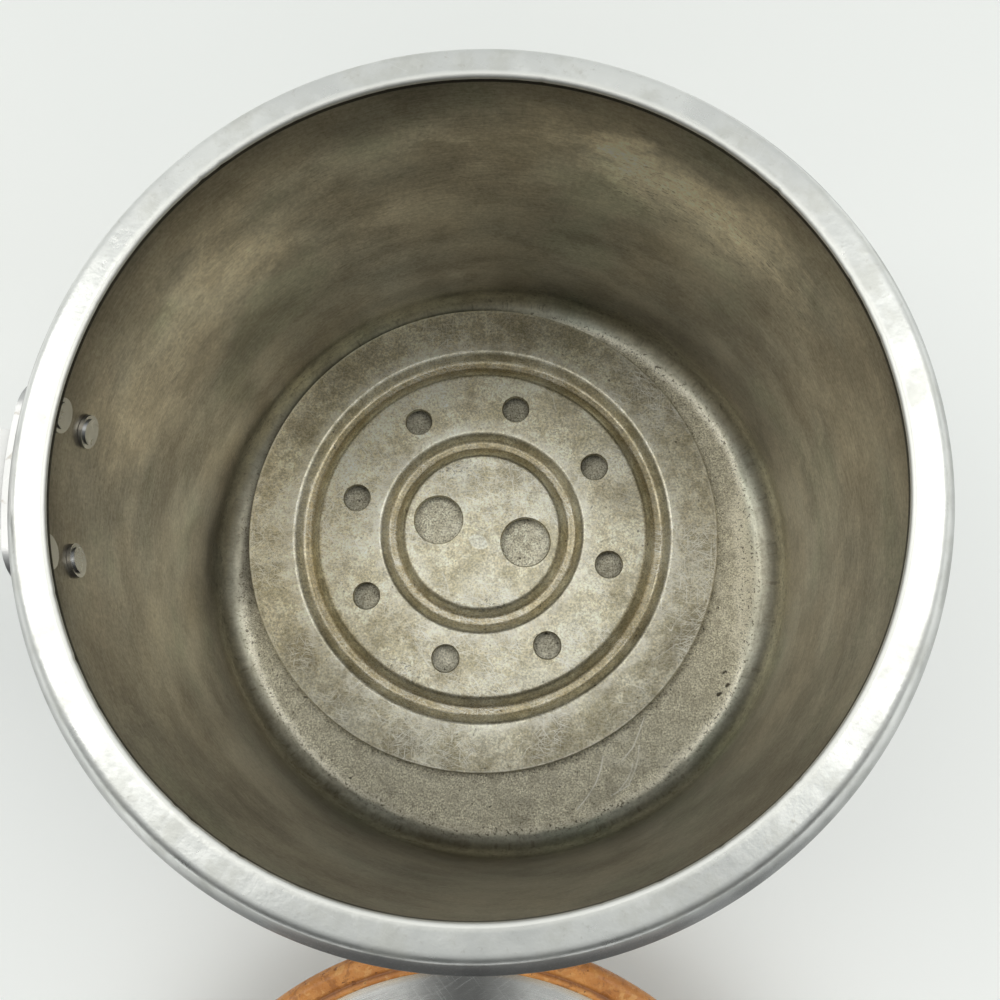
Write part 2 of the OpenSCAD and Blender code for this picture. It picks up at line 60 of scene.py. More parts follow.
# ------------------------------------------------------------------ node helper
class Mat:
    """Builds one material's node tree."""

    def __init__(self, name, metallic=0.0, color=(0.5, 0.5, 0.5), rough=0.5):
        self.m = bpy.data.materials.new(name)
        self.m.use_nodes = True
        self.t = self.m.node_tree
        self.b = self.t.nodes["Principled BSDF"]
        self.b.inputs["Metallic"].default_value = metallic
        self.b.inputs["Base Color"].default_value = (*color, 1)
        self.b.inputs["Roughness"].default_value = rough
        self.m.diffuse_color = (*color, 1)
        self.tc = self.t.nodes.new("ShaderNodeTexCoord")
        self.P = self.tc.outputs["Object"]
        self.bumps = []

    def node(self, kind, **kw):
        n = self.t.nodes.new(kind)
        for k, v in kw.items():
            setattr(n, k, v)
        return n

    def link(self, a, b):
        self.t.links.new(a, b)

    def put(self, sock, v):
        if isinstance(v, bpy.types.NodeSocket):
            self.link(v, sock)
        elif isinstance(v, (tuple, list)) and len(v) == 3 and sock.type == "RGBA":
            sock.default_value = (*v, 1)
        else:
            sock.default_value = v

    def math(self, op, a, b=None, c=None, clamp=False):
        n = self.node("ShaderNodeMath", operation=op, use_clamp=clamp)
        self.put(n.inputs[0], a)
        if b is not None:
            self.put(n.inputs[1], b)
        if c is not None:
            self.put(n.inputs[2], c)
        return n.outputs[0]

    def mapping(self, vec, scale=(1, 1, 1), loc=(0, 0, 0), rot=(0, 0, 0)):
        n = self.node("ShaderNodeMapping")
        self.link(vec, n.inputs["Vector"])
        n.inputs["Scale"].default_value = scale
        n.inputs["Location"].default_value = loc
        n.inputs["Rotation"].default_value = rot
        return n.outputs[0]

    def noise(self, vec, scale=1.0, detail=3.0, rough=0.5, lac=2.0, dist=0.0):
        n = self.node("ShaderNodeTexNoise")
        self.link(vec, n.inputs["Vector"])
        n.inputs["Scale"].default_value = scale
        n.inputs["Detail"].default_value = detail
        n.inputs["Roughness"].default_value = rough
        n.inputs["Lacunarity"].default_value = lac
        n.inputs["Distortion"].default_value = dist
        return n.outputs["Fac"]

    def noise_col(self, vec, scale=1.0, detail=2.0):
        n = self.node("ShaderNodeTexNoise")
        self.link(vec, n.inputs["Vector"])
        n.inputs["Scale"].default_value = scale
        n.inputs["Detail"].default_value = detail
        return n.outputs["Color"]

    def voronoi(self, vec, scale=1.0, feature="F1", rand=1.0, out="Distance"):
        n = self.node("ShaderNodeTexVoronoi", feature=feature)
        self.link(vec, n.inputs["Vector"])
        n.inputs["Scale"].default_value = scale
        n.inputs["Randomness"].default_value = rand
        return n.outputs[out]

    def ramp(self, v, lo, hi, a=0.0, b=1.0, smooth=True):
        """Value v mapped from lo..hi to a..b, clamped."""
        n = self.node("ShaderNodeMapRange")
        if smooth:
            n.interpolation_type = "SMOOTHSTEP"
        n.clamp = True
        self.put(n.inputs["Value"], v)
        self.put(n.inputs["From Min"], lo)
        self.put(n.inputs["From Max"], hi)
        self.put(n.inputs["To Min"], a)
        self.put(n.inputs["To Max"], b)
        return n.outputs["Result"]

    def mix(self, f, a, b, blend="MIX"):
        n = self.node("ShaderNodeMix", data_type="RGBA", blend_type=blend)
        n.clamp_factor = True
        self.put(n.inputs[0], f)
        self.put(n.inputs[6], a)
        self.put(n.inputs[7], b)
        return n.outputs[2]

    def warp(self, vec, scale, amount):
        """vec pushed about by noise of that scale."""
        c = self.noise_col(vec, scale)
        s = self.node("ShaderNodeVectorMath", operation="SUBTRACT")
        self.link(c, s.inputs[0])
        s.inputs[1].default_value = (0.5, 0.5, 0.5)
        m = self.node("ShaderNodeVectorMath", operation="MULTIPLY_ADD")
        self.link(s.outputs[0], m.inputs[0])
        m.inputs[1].default_value = (amount, amount, amount)
        self.link(vec, m.inputs[2])
        return m.outputs[0]

    def xyz(self, vec):
        n = self.node("ShaderNodeSeparateXYZ")
        self.link(vec, n.inputs[0])
        return n.outputs[0], n.outputs[1], n.outputs[2]

    def attr(self, name):
        return self.node("ShaderNodeAttribute", attribute_name=name).outputs["Fac"]

    def bump(self, height, dist, strength=1.0):
        n = self.node("ShaderNodeBump")
        n.inputs["Strength"].default_value = strength
        n.inputs["Distance"].default_value = dist
        self.link(height, n.inputs["Height"])
        if self.bumps:
            self.link(self.bumps[-1], n.inputs["Normal"])
        self.bumps.append(n.outputs[0])
        self.link(n.outputs[0], self.b.inputs["Normal"])

    def set(self, **kw):
        for k, v in kw.items():
            self.put(self.b.inputs[k.replace("_", " ")], v)

    def streaks(self, vec, length, width, lo, hi, rot=0.0, seed=0.0, detail=1.0):
        """Short straight scratches lying along X, turned by rot: 1 on a scratch, 0 off it."""
        v = self.mapping(vec, loc=(seed * 0.013, seed * 0.029, 0), rot=(0, 0, rot))
        v = self.mapping(v, scale=(1 / length, 1 / width, 1 / width), loc=(seed, seed * 0.7, seed * 0.3))
        return self.ramp(self.noise(v, 1.0, detail, 0.5), lo, hi)

    def contours(self, vec, scale, width, seed=0.0, detail=0.0, dist=0.0):
        """Long thin curved scratches that follow one level of a soft noise."""
        n = self.noise(self.mapping(vec, loc=(seed * 0.17, seed * 0.11, seed * 0.07)), scale, detail, 0.5, dist=dist)
        return self.ramp(self.math("ABSOLUTE", self.math("SUBTRACT", n, 0.5)), 0.0, width, 1.0, 0.0)

    def segment(self, vec, a, b):
        """Distance from vec to the segment a..b, all in metres."""
        ab = Vector(b) - Vector(a)
        s = self.node("ShaderNodeVectorMath", operation="SUBTRACT")
        self.link(vec, s.inputs[0])
        s.inputs[1].default_value = a
        d = self.node("ShaderNodeVectorMath", operation="DOT_PRODUCT")
        self.link(s.outputs[0], d.inputs[0])
        d.inputs[1].default_value = ab / ab.length_squared
        t = self.math("MULTIPLY", d.outputs["Value"], 1.0, clamp=True)
        k = self.node("ShaderNodeVectorMath", operation="SCALE")
        k.inputs[0].default_value = ab
        self.link(t, k.inputs["Scale"])
        q = self.node("ShaderNodeVectorMath", operation="SUBTRACT")
        self.link(s.outputs[0], q.inputs[0])
        self.link(k.outputs[0], q.inputs[1])
        n = self.node("ShaderNodeVectorMath", operation="LENGTH")
        self.link(q.outputs[0], n.inputs[0])
        return n.outputs["Value"]

    def polylines(self, vec, lines, width):
        """1 on any of the polylines (points in mm), falling to 0 at width (metres) from them."""
        best = None
        for pts in lines:
            for p, q in zip(pts, pts[1:]):
                d = self.segment(vec, [c * MM for c in p], [c * MM for c in q])
                best = d if best is None else self.math("MINIMUM", best, d)
        return self.ramp(best, width * 0.35, width, 1.0, 0.0)


def tangent_ring(mat):
    n = mat.node("ShaderNodeTangent", direction_type="RADIAL", axis="Z")
    mat.link(n.outputs[0], mat.b.inputs["Tangent"])


# ------------------------------------------------------------------ mesh helper
def finish_mesh(name, bm, mats, body, stands_for, sharp=None):
    me = bpy.data.meshes.new(name)
    bm.normal_update()
    bm.to_mesh(me)
    bm.free()
    for m in mats:
        me.materials.append(m)
    me.shade_smooth()
    if sharp is not None:
        me.set_sharp_from_angle(angle=math.radians(sharp))
    ob = bpy.data.objects.new(name, me)
    bpy.context.scene.collection.objects.link(ob)
    if body:
        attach(ob, body)
    if stands_for:
        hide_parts(*stands_for)
    return ob


def arc(cx, cz, r, a0, a1, n):
    """Points along an arc, angles in degrees."""
    return [(cx + r * math.cos(math.radians(a0 + (a1 - a0) * i / n)),
             cz + r * math.sin(math.radians(a0 + (a1 - a0) * i / n))) for i in range(n + 1)]


def lathe(profile, segs, centre=(0.0, 0.0), closed=True, shape=None, mat_of=None, attrs=None):
    """A body of revolution. profile is [(r, z)] in mm; r = 0 gives a pole. shape(r, z, a, i) may return
    a moved (r, z). attrs maps a name to a list with one value for each profile point."""
    bm = bmesh.new()
    layers = {k: bm.verts.layers.float.new(k) for k in (attrs or {})}
    rings = []
    for i, (r, z) in enumerate(profile):
        ring = []
        if r < 1e-6:
            v = bm.verts.new((centre[0] * MM, centre[1] * MM, z * MM))
            ring = [v] * segs
            for k, lay in layers.items():
                v[lay] = attrs[k][i]
        else:
            for s in range(segs):
                a = 2 * math.pi * s / segs
                rr, zz = shape(r, z, a, i) if shape else (r, z)
                v = bm.verts.new(((centre[0] + rr * math.cos(a)) * MM,
                                  (centre[1] + rr * math.sin(a)) * MM, zz * MM))
                for k, lay in layers.items():
                    v[lay] = attrs[k][i]
                ring.append(v)
        rings.append(ring)
    n = len(profile)
    for i in range(n if closed else n - 1):
        a, b = rings[i], rings[(i + 1) % n]
        for s in range(segs):
            t = (s + 1) % segs
            vs = []
            for v in (a[s], a[t], b[t], b[s]):
                if v not in vs:
                    vs.append(v)
            if len(vs) > 2:
                f = bm.faces.new(vs)
                if mat_of:
                    f.material_index = mat_of(i)
    bmesh.ops.recalc_face_normals(bm, faces=bm.faces)
    return bm


def nz(x, y, z, s):
    """Smooth noise about -1..1 at scale s (per mm)."""
    return noise.noise(Vector((x * s, y * s, z * s)))


# ------------------------------------------------------------------ camera
def make_camera():
    right = Vector((0.99928, 0.0, -0.03787))
    back = Vector((0.03705, -0.20674, 0.97769))
    up = back.cross(right).normalized()
    back = right.cross(up).normalized()
    m = Matrix((right, up, back)).transposed().to_4x4()
    m.translation = Vector((13.49, -50.17, 346.88)) * MM
    cam = bpy.data.cameras.new("camera")
    cam.sensor_width = 36.0
    cam.lens = 0.97198 * 36.0
    cam.clip_start = 0.005
    cam.clip_end = 20
    ob = bpy.data.objects.new("camera", cam)
    ob.matrix_world = m
    bpy.context.scene.collection.objects.link(ob)
    bpy.context.scene.camera = ob


make_camera()


# ------------------------------------------------------------------ light and floor
def area(name, loc, aim, size, power, color=(1, 1, 1), size_y=None):
    li = bpy.data.lights.new(name, "AREA")
    li.energy = power
    li.color = color
    li.size = size
    if size_y:
        li.shape = "RECTANGLE"
        li.size_y = size_y
    ob = bpy.data.objects.new(name, li)
    ob.location = loc
    d = (Vector(aim) - Vector(loc)).normalized()
    ob.rotation_euler = d.to_track_quat("-Z", "Y").to_euler()
    bpy.context.scene.collection.objects.link(ob)
    return ob


def make_light():
    w = bpy.data.worlds.new("studio")
    bpy.context.scene.world = w
    w.use_nodes = True
    t = w.node_tree
    bg = t.nodes["Background"]
    bg.inputs["Color"].default_value = (0.97, 1.0, 0.975, 1)
    # a soft studio dome, dim low down on the -Y side
    co = t.nodes.new("ShaderNodeTexCoord")
    sep = t.nodes.new("ShaderNodeSeparateXYZ")
    t.links.new(co.outputs["Generated"], sep.inputs[0])

    def span(sock, a, b, lo, hi):
        mr = t.nodes.new("ShaderNodeMapRange")
        mr.interpolation_type = "SMOOTHSTEP"
        mr.inputs["From Min"].default_value = a
        mr.inputs["From Max"].default_value = b
        mr.inputs["To Min"].default_value = lo
        mr.inputs["To Max"].default_value = hi
        t.links.new(sock, mr.inputs["Value"])
        return mr.outputs[0]

    mul = t.nodes.new("ShaderNodeMath")
    mul.operation = "MULTIPLY"
    t.links.new(span(sep.outputs[1], -0.70, -0.20, 1.0, 0.0), mul.inputs[0])
    t.links.new(span(sep.outputs[2], 0.45, 0.85, 1.0, 0.0), mul.inputs[1])
    low = span(mul.outputs[0], 0.0, 1.0, 1.0, SKY_LOW / SKY)
    side = span(sep.outputs[1], -0.45, 0.25, SKY * 0.64, SKY)
    mix = t.nodes.new("ShaderNodeMath")
    mix.operation = "MULTIPLY"
    t.links.new(low, mix.inputs[0])
    t.links.new(side, mix.inputs[1])
    t.links.new(mix.outputs[0], bg.inputs["Strength"])
    area("right", (1.05, 0.25, 1.45), (0, 0, 0.1), 0.9, SIDE, (1.0, 0.99, 0.94), 1.5)
    area("left", (-1.05, 0.25, 1.45), (0, 0, 0.1), 0.9, SIDE, (1.0, 0.99, 0.94), 1.5)
    # a fill over the near table, which metal doesn't mirror
    fill = area("fill", (0, -0.75, 0.70), (0, -0.22, 0), 1.2, FILL, (1.0, 1.0, 1.0), 0.6)
    fill.visible_glossy = False


SKY, SKY_LOW, SIDE = 0.74, 0.17, 6.0
FILL = 2.6


def make_floor():
    mat = Mat("table_white", 0.0, (0.93, 0.94, 0.93), 0.42)
    n = mat.noise(mat.P, 3.0, 3.0, 0.5)
    mat.set(Base_Color=mat.mix(mat.ramp(n, 0.3, 0.7), (0.915, 0.93, 0.925), (0.94, 0.95, 0.942)))
    bm = bmesh.new()
    s = 2.5
    vs = [bm.verts.new(p) for p in ((-s, -s, 0), (s, -s, 0), (s, s, 0), (-s, s, 0))]
    bm.faces.new(vs)
    me = bpy.data.meshes.new("table")
    bm.to_mesh(me)
    bm.free()
    me.materials.append(mat.m)
    ob = bpy.data.objects.new("table", me)
    bpy.context.scene.collection.objects.link(ob)


make_light()
make_floor()


# ------------------------------------------------------------------ materials
def mat_pot_inside():
    m = Mat("aluminium_tarnished", 1.0, (0.5, 0.48, 0.42), 0.42)
    x, y, z = m.xyz(m.P)
    warpy = m.noise(m.mapping(m.P, loc=(5, 1, 3)), 120.0, 3.0, 0.6)
    zf = m.math("ADD", z, m.math("ADD", m.math("MULTIPLY", m.math("SUBTRACT", warpy, 0.5), 0.0012), m.ramp(x, 0.079, 0.092, 0.0, 0.0008)))
    floor = m.ramp(zf, 0.0041, 0.0051, 1.0, 0.0)
    # ---- wall: patches, brushing round the wall, painted shade under the rim
    # coordinates that run round the pot, and along its profile
    r = m.math("SQRT", m.math("ADD", m.math("MULTIPLY", x, x), m.math("MULTIPLY", y, y)))
    inv = m.math("DIVIDE", 0.099, m.math("MAXIMUM", r, 0.001))
    rnd = m.node("ShaderNodeCombineXYZ")
    m.link(m.math("MULTIPLY", x, inv), rnd.inputs[0])
    m.link(m.math("MULTIPLY", y, inv), rnd.inputs[1])
    m.link(m.math("SUBTRACT", z, r), rnd.inputs[2])
    rnd = rnd.outputs[0]
    big = m.noise(m.P, 15.0, 3.0, 0.5)
    hue = m.noise(m.mapping(m.P, (1, 1, 1.2), loc=(6, 2, 9)), 24.0, 3.0, 0.5)
    mid = m.noise(m.mapping(rnd, (1, 1, 1.9), loc=(3, 1, 2)), 34.0, 4.0, 0.55)
    lines = m.noise(m.mapping(rnd, (260, 260, 2300), loc=(1, 5, 0)), 1.0, 3.0, 0.62)
    long = m.noise(m.mapping(rnd, (30, 30, 1500), loc=(7, 5, 2)), 1.0, 2.0, 0.55)
    bands = m.noise(m.mapping(rnd, (5, 5, 110), loc=(4, 2, 0)), 1.0, 3.0, 0.55)
    fine = m.noise(m.mapping(rnd, (620, 620, 1700), loc=(8, 1, 6)), 1.0, 2.0, 0.6)
    wall = m.mix(m.ramp(big, 0.36, 0.64), WALL_LO, WALL_HI)
    # grey-green to brown tarnish
    wall = m.mix(m.ramp(hue, 0.40, 0.62, 0.0, 1.0), wall, m.mix(1.0, wall, (1.03, 0.98, 0.935), "MULTIPLY"))
    wall = m.mix(m.ramp(hue, 0.34, 0.46, 1.0, 0.0), wall, m.mix(1.0, wall, (0.94, 0.99, 0.95), "MULTIPLY"))
    wall = m.mix(m.ramp(mid, 0.46, 0.68, 0.0, 0.30), wall, (0.27, 0.25, 0.20))
    wall = m.mix(m.ramp(mid, 0.30, 0.46, 0.24, 0.0), wall, (0.62, 0.59, 0.51))
    wall = m.mix(m.ramp(lines, 0.40, 0.66, 0.0, 0.26), wall, (0.70, 0.66, 0.56))
    wall = m.mix(m.ramp(lines, 0.30, 0.44, 0.26, 0.0), wall, (0.22, 0.20, 0.155))
    wall = m.mix(m.ramp(long, 0.60, 0.70, 0.0, 0.18), wall, (0.74, 0.70, 0.60))
    wall = m.mix(m.ramp(bands, 0.50, 0.74, 0.0, 0.12), wall, (0.26, 0.24, 0.19))
    wall = m.mix(m.ramp(fine, 0.62, 0.74, 0.0, 0.40), wall, (0.20, 0.18, 0.14))
    tarn = m.noise(m.warp(m.mapping(m.P, loc=(2, 7, 5)), 90.0, 0.012), 70.0, 6.0, 0.66)
    wall = m.mix(m.ramp(tarn, 0.525, 0.575, 0.0, 0.26), wall, (0.29, 0.26, 0.20))
    wall = m.mix(m.ramp(tarn, 0.405, 0.445, 0.24, 0.0), wall, (0.66, 0.62, 0.52))
    dust = m.noise(m.mapping(m.P, loc=(4, 4, 9)), 900.0, 3.0, 0.72)
    wall = m.mix(1.0, wall, m.ramp(dust, 0.36, 0.64, 1.10, 0.90), "MULTIPLY")
    # painted shade under the rim and on the lip's lower face, on the -Y side, and low down on the +Y side
    soft = m.math("MULTIPLY", m.math("SUBTRACT", big, 0.5), 0.030)
    zz = m.math("ADD", z, soft)
    rim_f = m.math("MULTIPLY", m.ramp(zz, 0.116, 0.140, 1.0, 0.48), m.ramp(z, 0.1462, 0.1470, 1.0, 0.16))
    near_f = m.ramp(m.math("ADD", y, soft), -0.092, -0.020, m.ramp(z, 0.020, 0.085, 0.50, 0.60), 1.0)
    low_f = m.math("MULTIPLY", m.ramp(y, 0.020, 0.075, 0.0, 1.0),
                   m.math("MULTIPLY", m.ramp(zz, 0.066, 0.094, 1.0, 0.0), m.ramp(z, 0.012, 0.026, 0.0, 1.0)))
    low_f = m.ramp(low_f, 0.0, 1.0, 1.0, 0.76, smooth=False)
    # painted light on the lowest band of the wall, with painted shade right at its foot
    foot_f = m.math("MULTIPLY", m.ramp(z, 0.010, 0.024, 1.55, 1.0), m.ramp(z, 0.0052, 0.0115, 0.80, 1.0))
    # painted shade on the corner on the +X side and painted light on it on the -Y side
    corner = m.math("MULTIPLY", m.ramp(z, 0.0043, 0.0048), m.ramp(z, 0.0056, 0.0088, 1.0, 0.0))
    foot_f = m.math("MULTIPLY", foot_f, m.ramp(m.math("MULTIPLY", corner, m.ramp(x, 0.060, 0.085)), 0.0, 1.0, 1.0, 0.60, smooth=False))
    corner = m.math("MULTIPLY", m.ramp(z, 0.0052, 0.0062), m.ramp(z, 0.0080, 0.0125, 1.0, 0.0))
    foot_f = m.math("MULTIPLY", foot_f, m.ramp(m.math("MULTIPLY", corner, m.ramp(y, -0.090, -0.060, 1.0, 0.0)), 0.0, 1.0, 1.0, 1.28, smooth=False))
    tone = m.math("MULTIPLY", m.math("MULTIPLY", rim_f, near_f), m.math("MULTIPLY", low_f, foot_f))
    # painted shade on the foot where the rack's edge comes close to it
    left = m.math("MULTIPLY", m.ramp(x, -0.084, -0.052, 1.0, 0.0), m.ramp(y, -0.034, -0.002))
    tone = m.math("MULTIPLY", tone, m.ramp(m.math("MULTIPLY", left, m.ramp(z, 0.0052, 0.0085, 1.0, 0.0)), 0.0, 1.0, 1.0, 0.42, smooth=False))
    # painted highlights and painted shade, by their angle round the pot, height, length, half width and strength
    ragged = m.math("MULTIPLY", m.math("SUBTRACT", m.noise(m.mapping(rnd, (1, 1, 1.6), loc=(9, 4, 1)), 70.0, 4.0, 0.6), 0.5), 0.030)
    for az, pz, half, wide, gain in ((150, 98, 11, 28, 1.62), (54, 110, 12, 19, 1.62), (104, 102, 5, 12, 0.82), (118, 70, 12, 26, 1.30), (74, 118, 7, 12, 1.20), (88, 106, 34, 34, 1.20)):
        ends = [(0.099 * math.cos(math.radians(az + k * half)), 0.099 * math.sin(math.radians(az + k * half)), pz * MM) for k in (-1, 1)]
        near = m.math("ADD", m.segment(m.P, *ends), ragged)
        tone = m.math("MULTIPLY", tone, m.ramp(near, wide * 0.15 * MM, wide * MM, gain, 1.0))
    wall = m.mix(1.0, wall, tone, "MULTIPLY")
    wall = m.mix(m.ramp(z, 0.008, 0.022, 1.0, 0.0), wall, m.mix(1.0, wall, (0.965, 1.0, 0.96), "MULTIPLY"))
    # short dark dashes on the far right
    near = m.math("MULTIPLY", m.ramp(m.segment(m.P, (0.045, 0.088, 0.100), (0.080, 0.058, 0.098)), 0.006, 0.024, 1.0, 0.0),
                  m.ramp(m.noise(m.mapping(rnd, (520, 520, 1500)), 1.0, 2.0), 0.61, 0.68))
    wall = m.mix(m.math("MULTIPLY", near, 0.50), wall, (0.15, 0.125, 0.09))
    # ---- floor: pitted, speckled
    spk = m.noise(m.P, 1700.0, 4.0, 0.85)
    spk2 = m.noise(m.mapping(m.P, loc=(7, 3, 1)), 300.0, 4.0, 0.65)
    fl = m.mix(m.ramp(spk, 0.39, 0.61), (0.42, 0.375, 0.28), (1.0, 0.955, 0.78))
    fl = m.mix(m.ramp(spk2, 0.42, 0.70, 0.0, 0.45), fl, (0.50, 0.455, 0.35))
    pits = m.ramp(m.noise(m.mapping(m.P, loc=(2, 8, 1)), 640.0, 2.0, 0.5), 0.70, 0.76)
    fl = m.mix(m.math("MULTIPLY", pits, 0.85), fl, (0.05, 0.04, 0.03))
    # finer dark pits where the rack keeps the floor covered
    dots = m.ramp(m.noise(m.mapping(m.P, loc=(3, 3, 6)), 1250.0, 2.0, 0.6), 0.575, 0.625)
    fl = m.mix(m.math("MULTIPLY", dots, m.ramp(r, 0.066, 0.076, 0.62, 0.22)), fl, (0.13, 0.115, 0.085))
    best = None
    for px, py, pr in ((77.5, -39.3, 0.20), (75.4, -46.6, 0.32), (78.4, -43.6, 0.14), (73.5, -55.0, 0.05), (60.0, -66.5, 0.05)):
        d = m.math("SUBTRACT", m.segment(m.P, (px * MM, py * MM, 0.004), ((px + 0.8) * MM, (py + 0.5) * MM, 0.004)), pr * MM)
        best = d if best is None else m.math("MINIMUM", best, d)
    spots = m.ramp(m.math("ADD", best, m.math("MULTIPLY", m.math("SUBTRACT", spk2, 0.5), 0.0018)), 0.0, 0.0005, 0.9, 0.0)
    fl = m.mix(spots, fl, (0.04, 0.032, 0.022))
    # painted light and shade on the floor seen through the rack's holes: paler in the middle, darker round the ring of
    # small holes
    cx = m.math("SUBTRACT", x, RACK_C[0] * MM)
    cy = m.math("SUBTRACT", y, RACK_C[1] * MM)
    cr = m.math("SQRT", m.math("ADD", m.math("MULTIPLY", cx, cx), m.math("MULTIPLY", cy, cy)))
    below = m.math("MULTIPLY", m.ramp(cr, 0.024, 0.036, 1.12, 1.0), m.math("ADD", m.ramp(cr, 0.034, 0.042, 1.0, 0.72), m.ramp(cr, 0.051, 0.060, 0.0, 0.28)))
    fl = m.mix(1.0, fl, below, "MULTIPLY")
    curls = [[(50, -54, 4), (48.5, -58, 4), (46, -64, 4), (42, -68.5, 4)],
             [(48, -63.5, 4), (47.6, -67, 4), (46.5, -71, 4), (44, -76.5, 4), (38, -80, 4)],
             [(45.6, -69.5, 4), (45, -72, 4), (43.7, -74.5, 4), (40.8, -78, 4)],
             [(35.7, -67, 4), (34.8, -71, 4), (32.9, -76, 4), (30, -80.5, 4), (26.6, -84.5, 4)]]
    scr = m.polylines(m.warp(m.P, 60.0, 0.0008), curls, 0.00030)
    fl = m.mix(m.math("MULTIPLY", scr, 0.8), fl, (1.0, 0.97, 0.9))
    # dark specks along the rack's edge and by the turn of the floor
    pepper = m.ramp(m.noise(m.mapping(m.P, loc=(5, 6, 2)), 1000.0, 2.0, 0.6), 0.585, 0.64)
    edge = m.math("MULTIPLY", m.ramp(cr, 0.0820, 0.0835, 0.0, 1.0), m.ramp(cr, 0.0835, 0.0875, 1.0, 0.0))
    rim = m.math("MULTIPLY", m.ramp(r, 0.0840, 0.0905, 0.0, 0.8), m.ramp(spk2, 0.44, 0.58))
    fl = m.mix(m.math("MULTIPLY", pepper, m.math("MAXIMUM", m.math("MULTIPLY", edge, 0.75), rim)), fl, (0.085, 0.07, 0.05))
    # painted shadow on the floor by the rack's edge on the left
    fl = m.mix(m.math("MULTIPLY", left, 0.7), fl, (0.07, 0.066, 0.055))
    col = m.mix(floor, wall, fl)
    # painted highlight on the line where the floor turns up into the wall, speckled
    turn = m.math("MULTIPLY", m.ramp(zf, 0.00402, 0.0043, 0.0, 1.0), m.ramp(zf, 0.0043, 0.0051, 1.0, 0.0))
    col = m.mix(m.math("MULTIPLY", turn, m.math("MULTIPLY", m.ramp(spk, 0.40, 0.58, 0.30, 0.95), m.math("MULTIPLY", m.ramp(x, 0.084, 0.092, 1.0, 0.55), m.math("MULTIPLY", m.ramp(y, -0.092, -0.064, 0.35, 1.0), m.math("SUBTRACT", 1.0, left))))), col, (1.0, 0.95, 0.80))
    col = m.mix(m.math("MULTIPLY", m.math("MULTIPLY", m.ramp(zf, 0.0041, 0.0044, 0.0, 1.0), m.ramp(zf, 0.0048, 0.0062, 1.0, 0.0)),
                       m.math("MULTIPLY", pepper, 0.8)), col, (0.10, 0.085, 0.06))
    # painted shade on the turn of the floor on the -Y side
    dull = m.math("MULTIPLY", m.math("MULTIPLY", m.ramp(zf, 0.00401, 0.0042), m.ramp(zf, 0.0048, 0.0058, 1.0, 0.0)), m.ramp(y, -0.088, -0.050, 1.0, 0.0))
    col = m.mix(m.math("MULTIPLY", dull, 0.45), col, m.mix(1.0, col, (0.42, 0.40, 0.36), "MULTIPLY"))
    dash = m.ramp(m.noise(m.mapping(rnd, (420, 420, 1700), loc=(2, 9, 4)), 1.0, 2.0, 0.6), 0.60, 0.68)
    foot = m.math("MULTIPLY", m.ramp(zf, 0.0050, 0.0070, 0.0, 1.0), m.ramp(zf, 0.0130, 0.0300, 1.0, 0.0))
    col = m.mix(m.math("MULTIPLY", m.math("MULTIPLY", foot, dash), 0.35), col, (0.14, 0.12, 0.085))
    m.set(Base_Color=col)
    rough = m.mix(floor, m.ramp(mid, 0.3, 0.7, 0.32, 0.44), m.ramp(spk2, 0.3, 0.7, 0.42, 0.55))
    m.set(Roughness=rough, Anisotropic=0.5, Anisotropic_Rotation=0.25)
    tangent_ring(m)
    off = m.math("SUBTRACT", 1.0, floor)
    m.bump(m.math("MULTIPLY", lines, off), 0.00006, 0.6)
    m.bump(m.math("MULTIPLY", m.math("SUBTRACT", spk, pits), floor), 0.00018, 0.45)
    m.bump(mid, 0.0005, 0.35)
    return m.m


WALL_LO, WALL_HI = (0.40, 0.375, 0.32), (0.54, 0.515, 0.45)


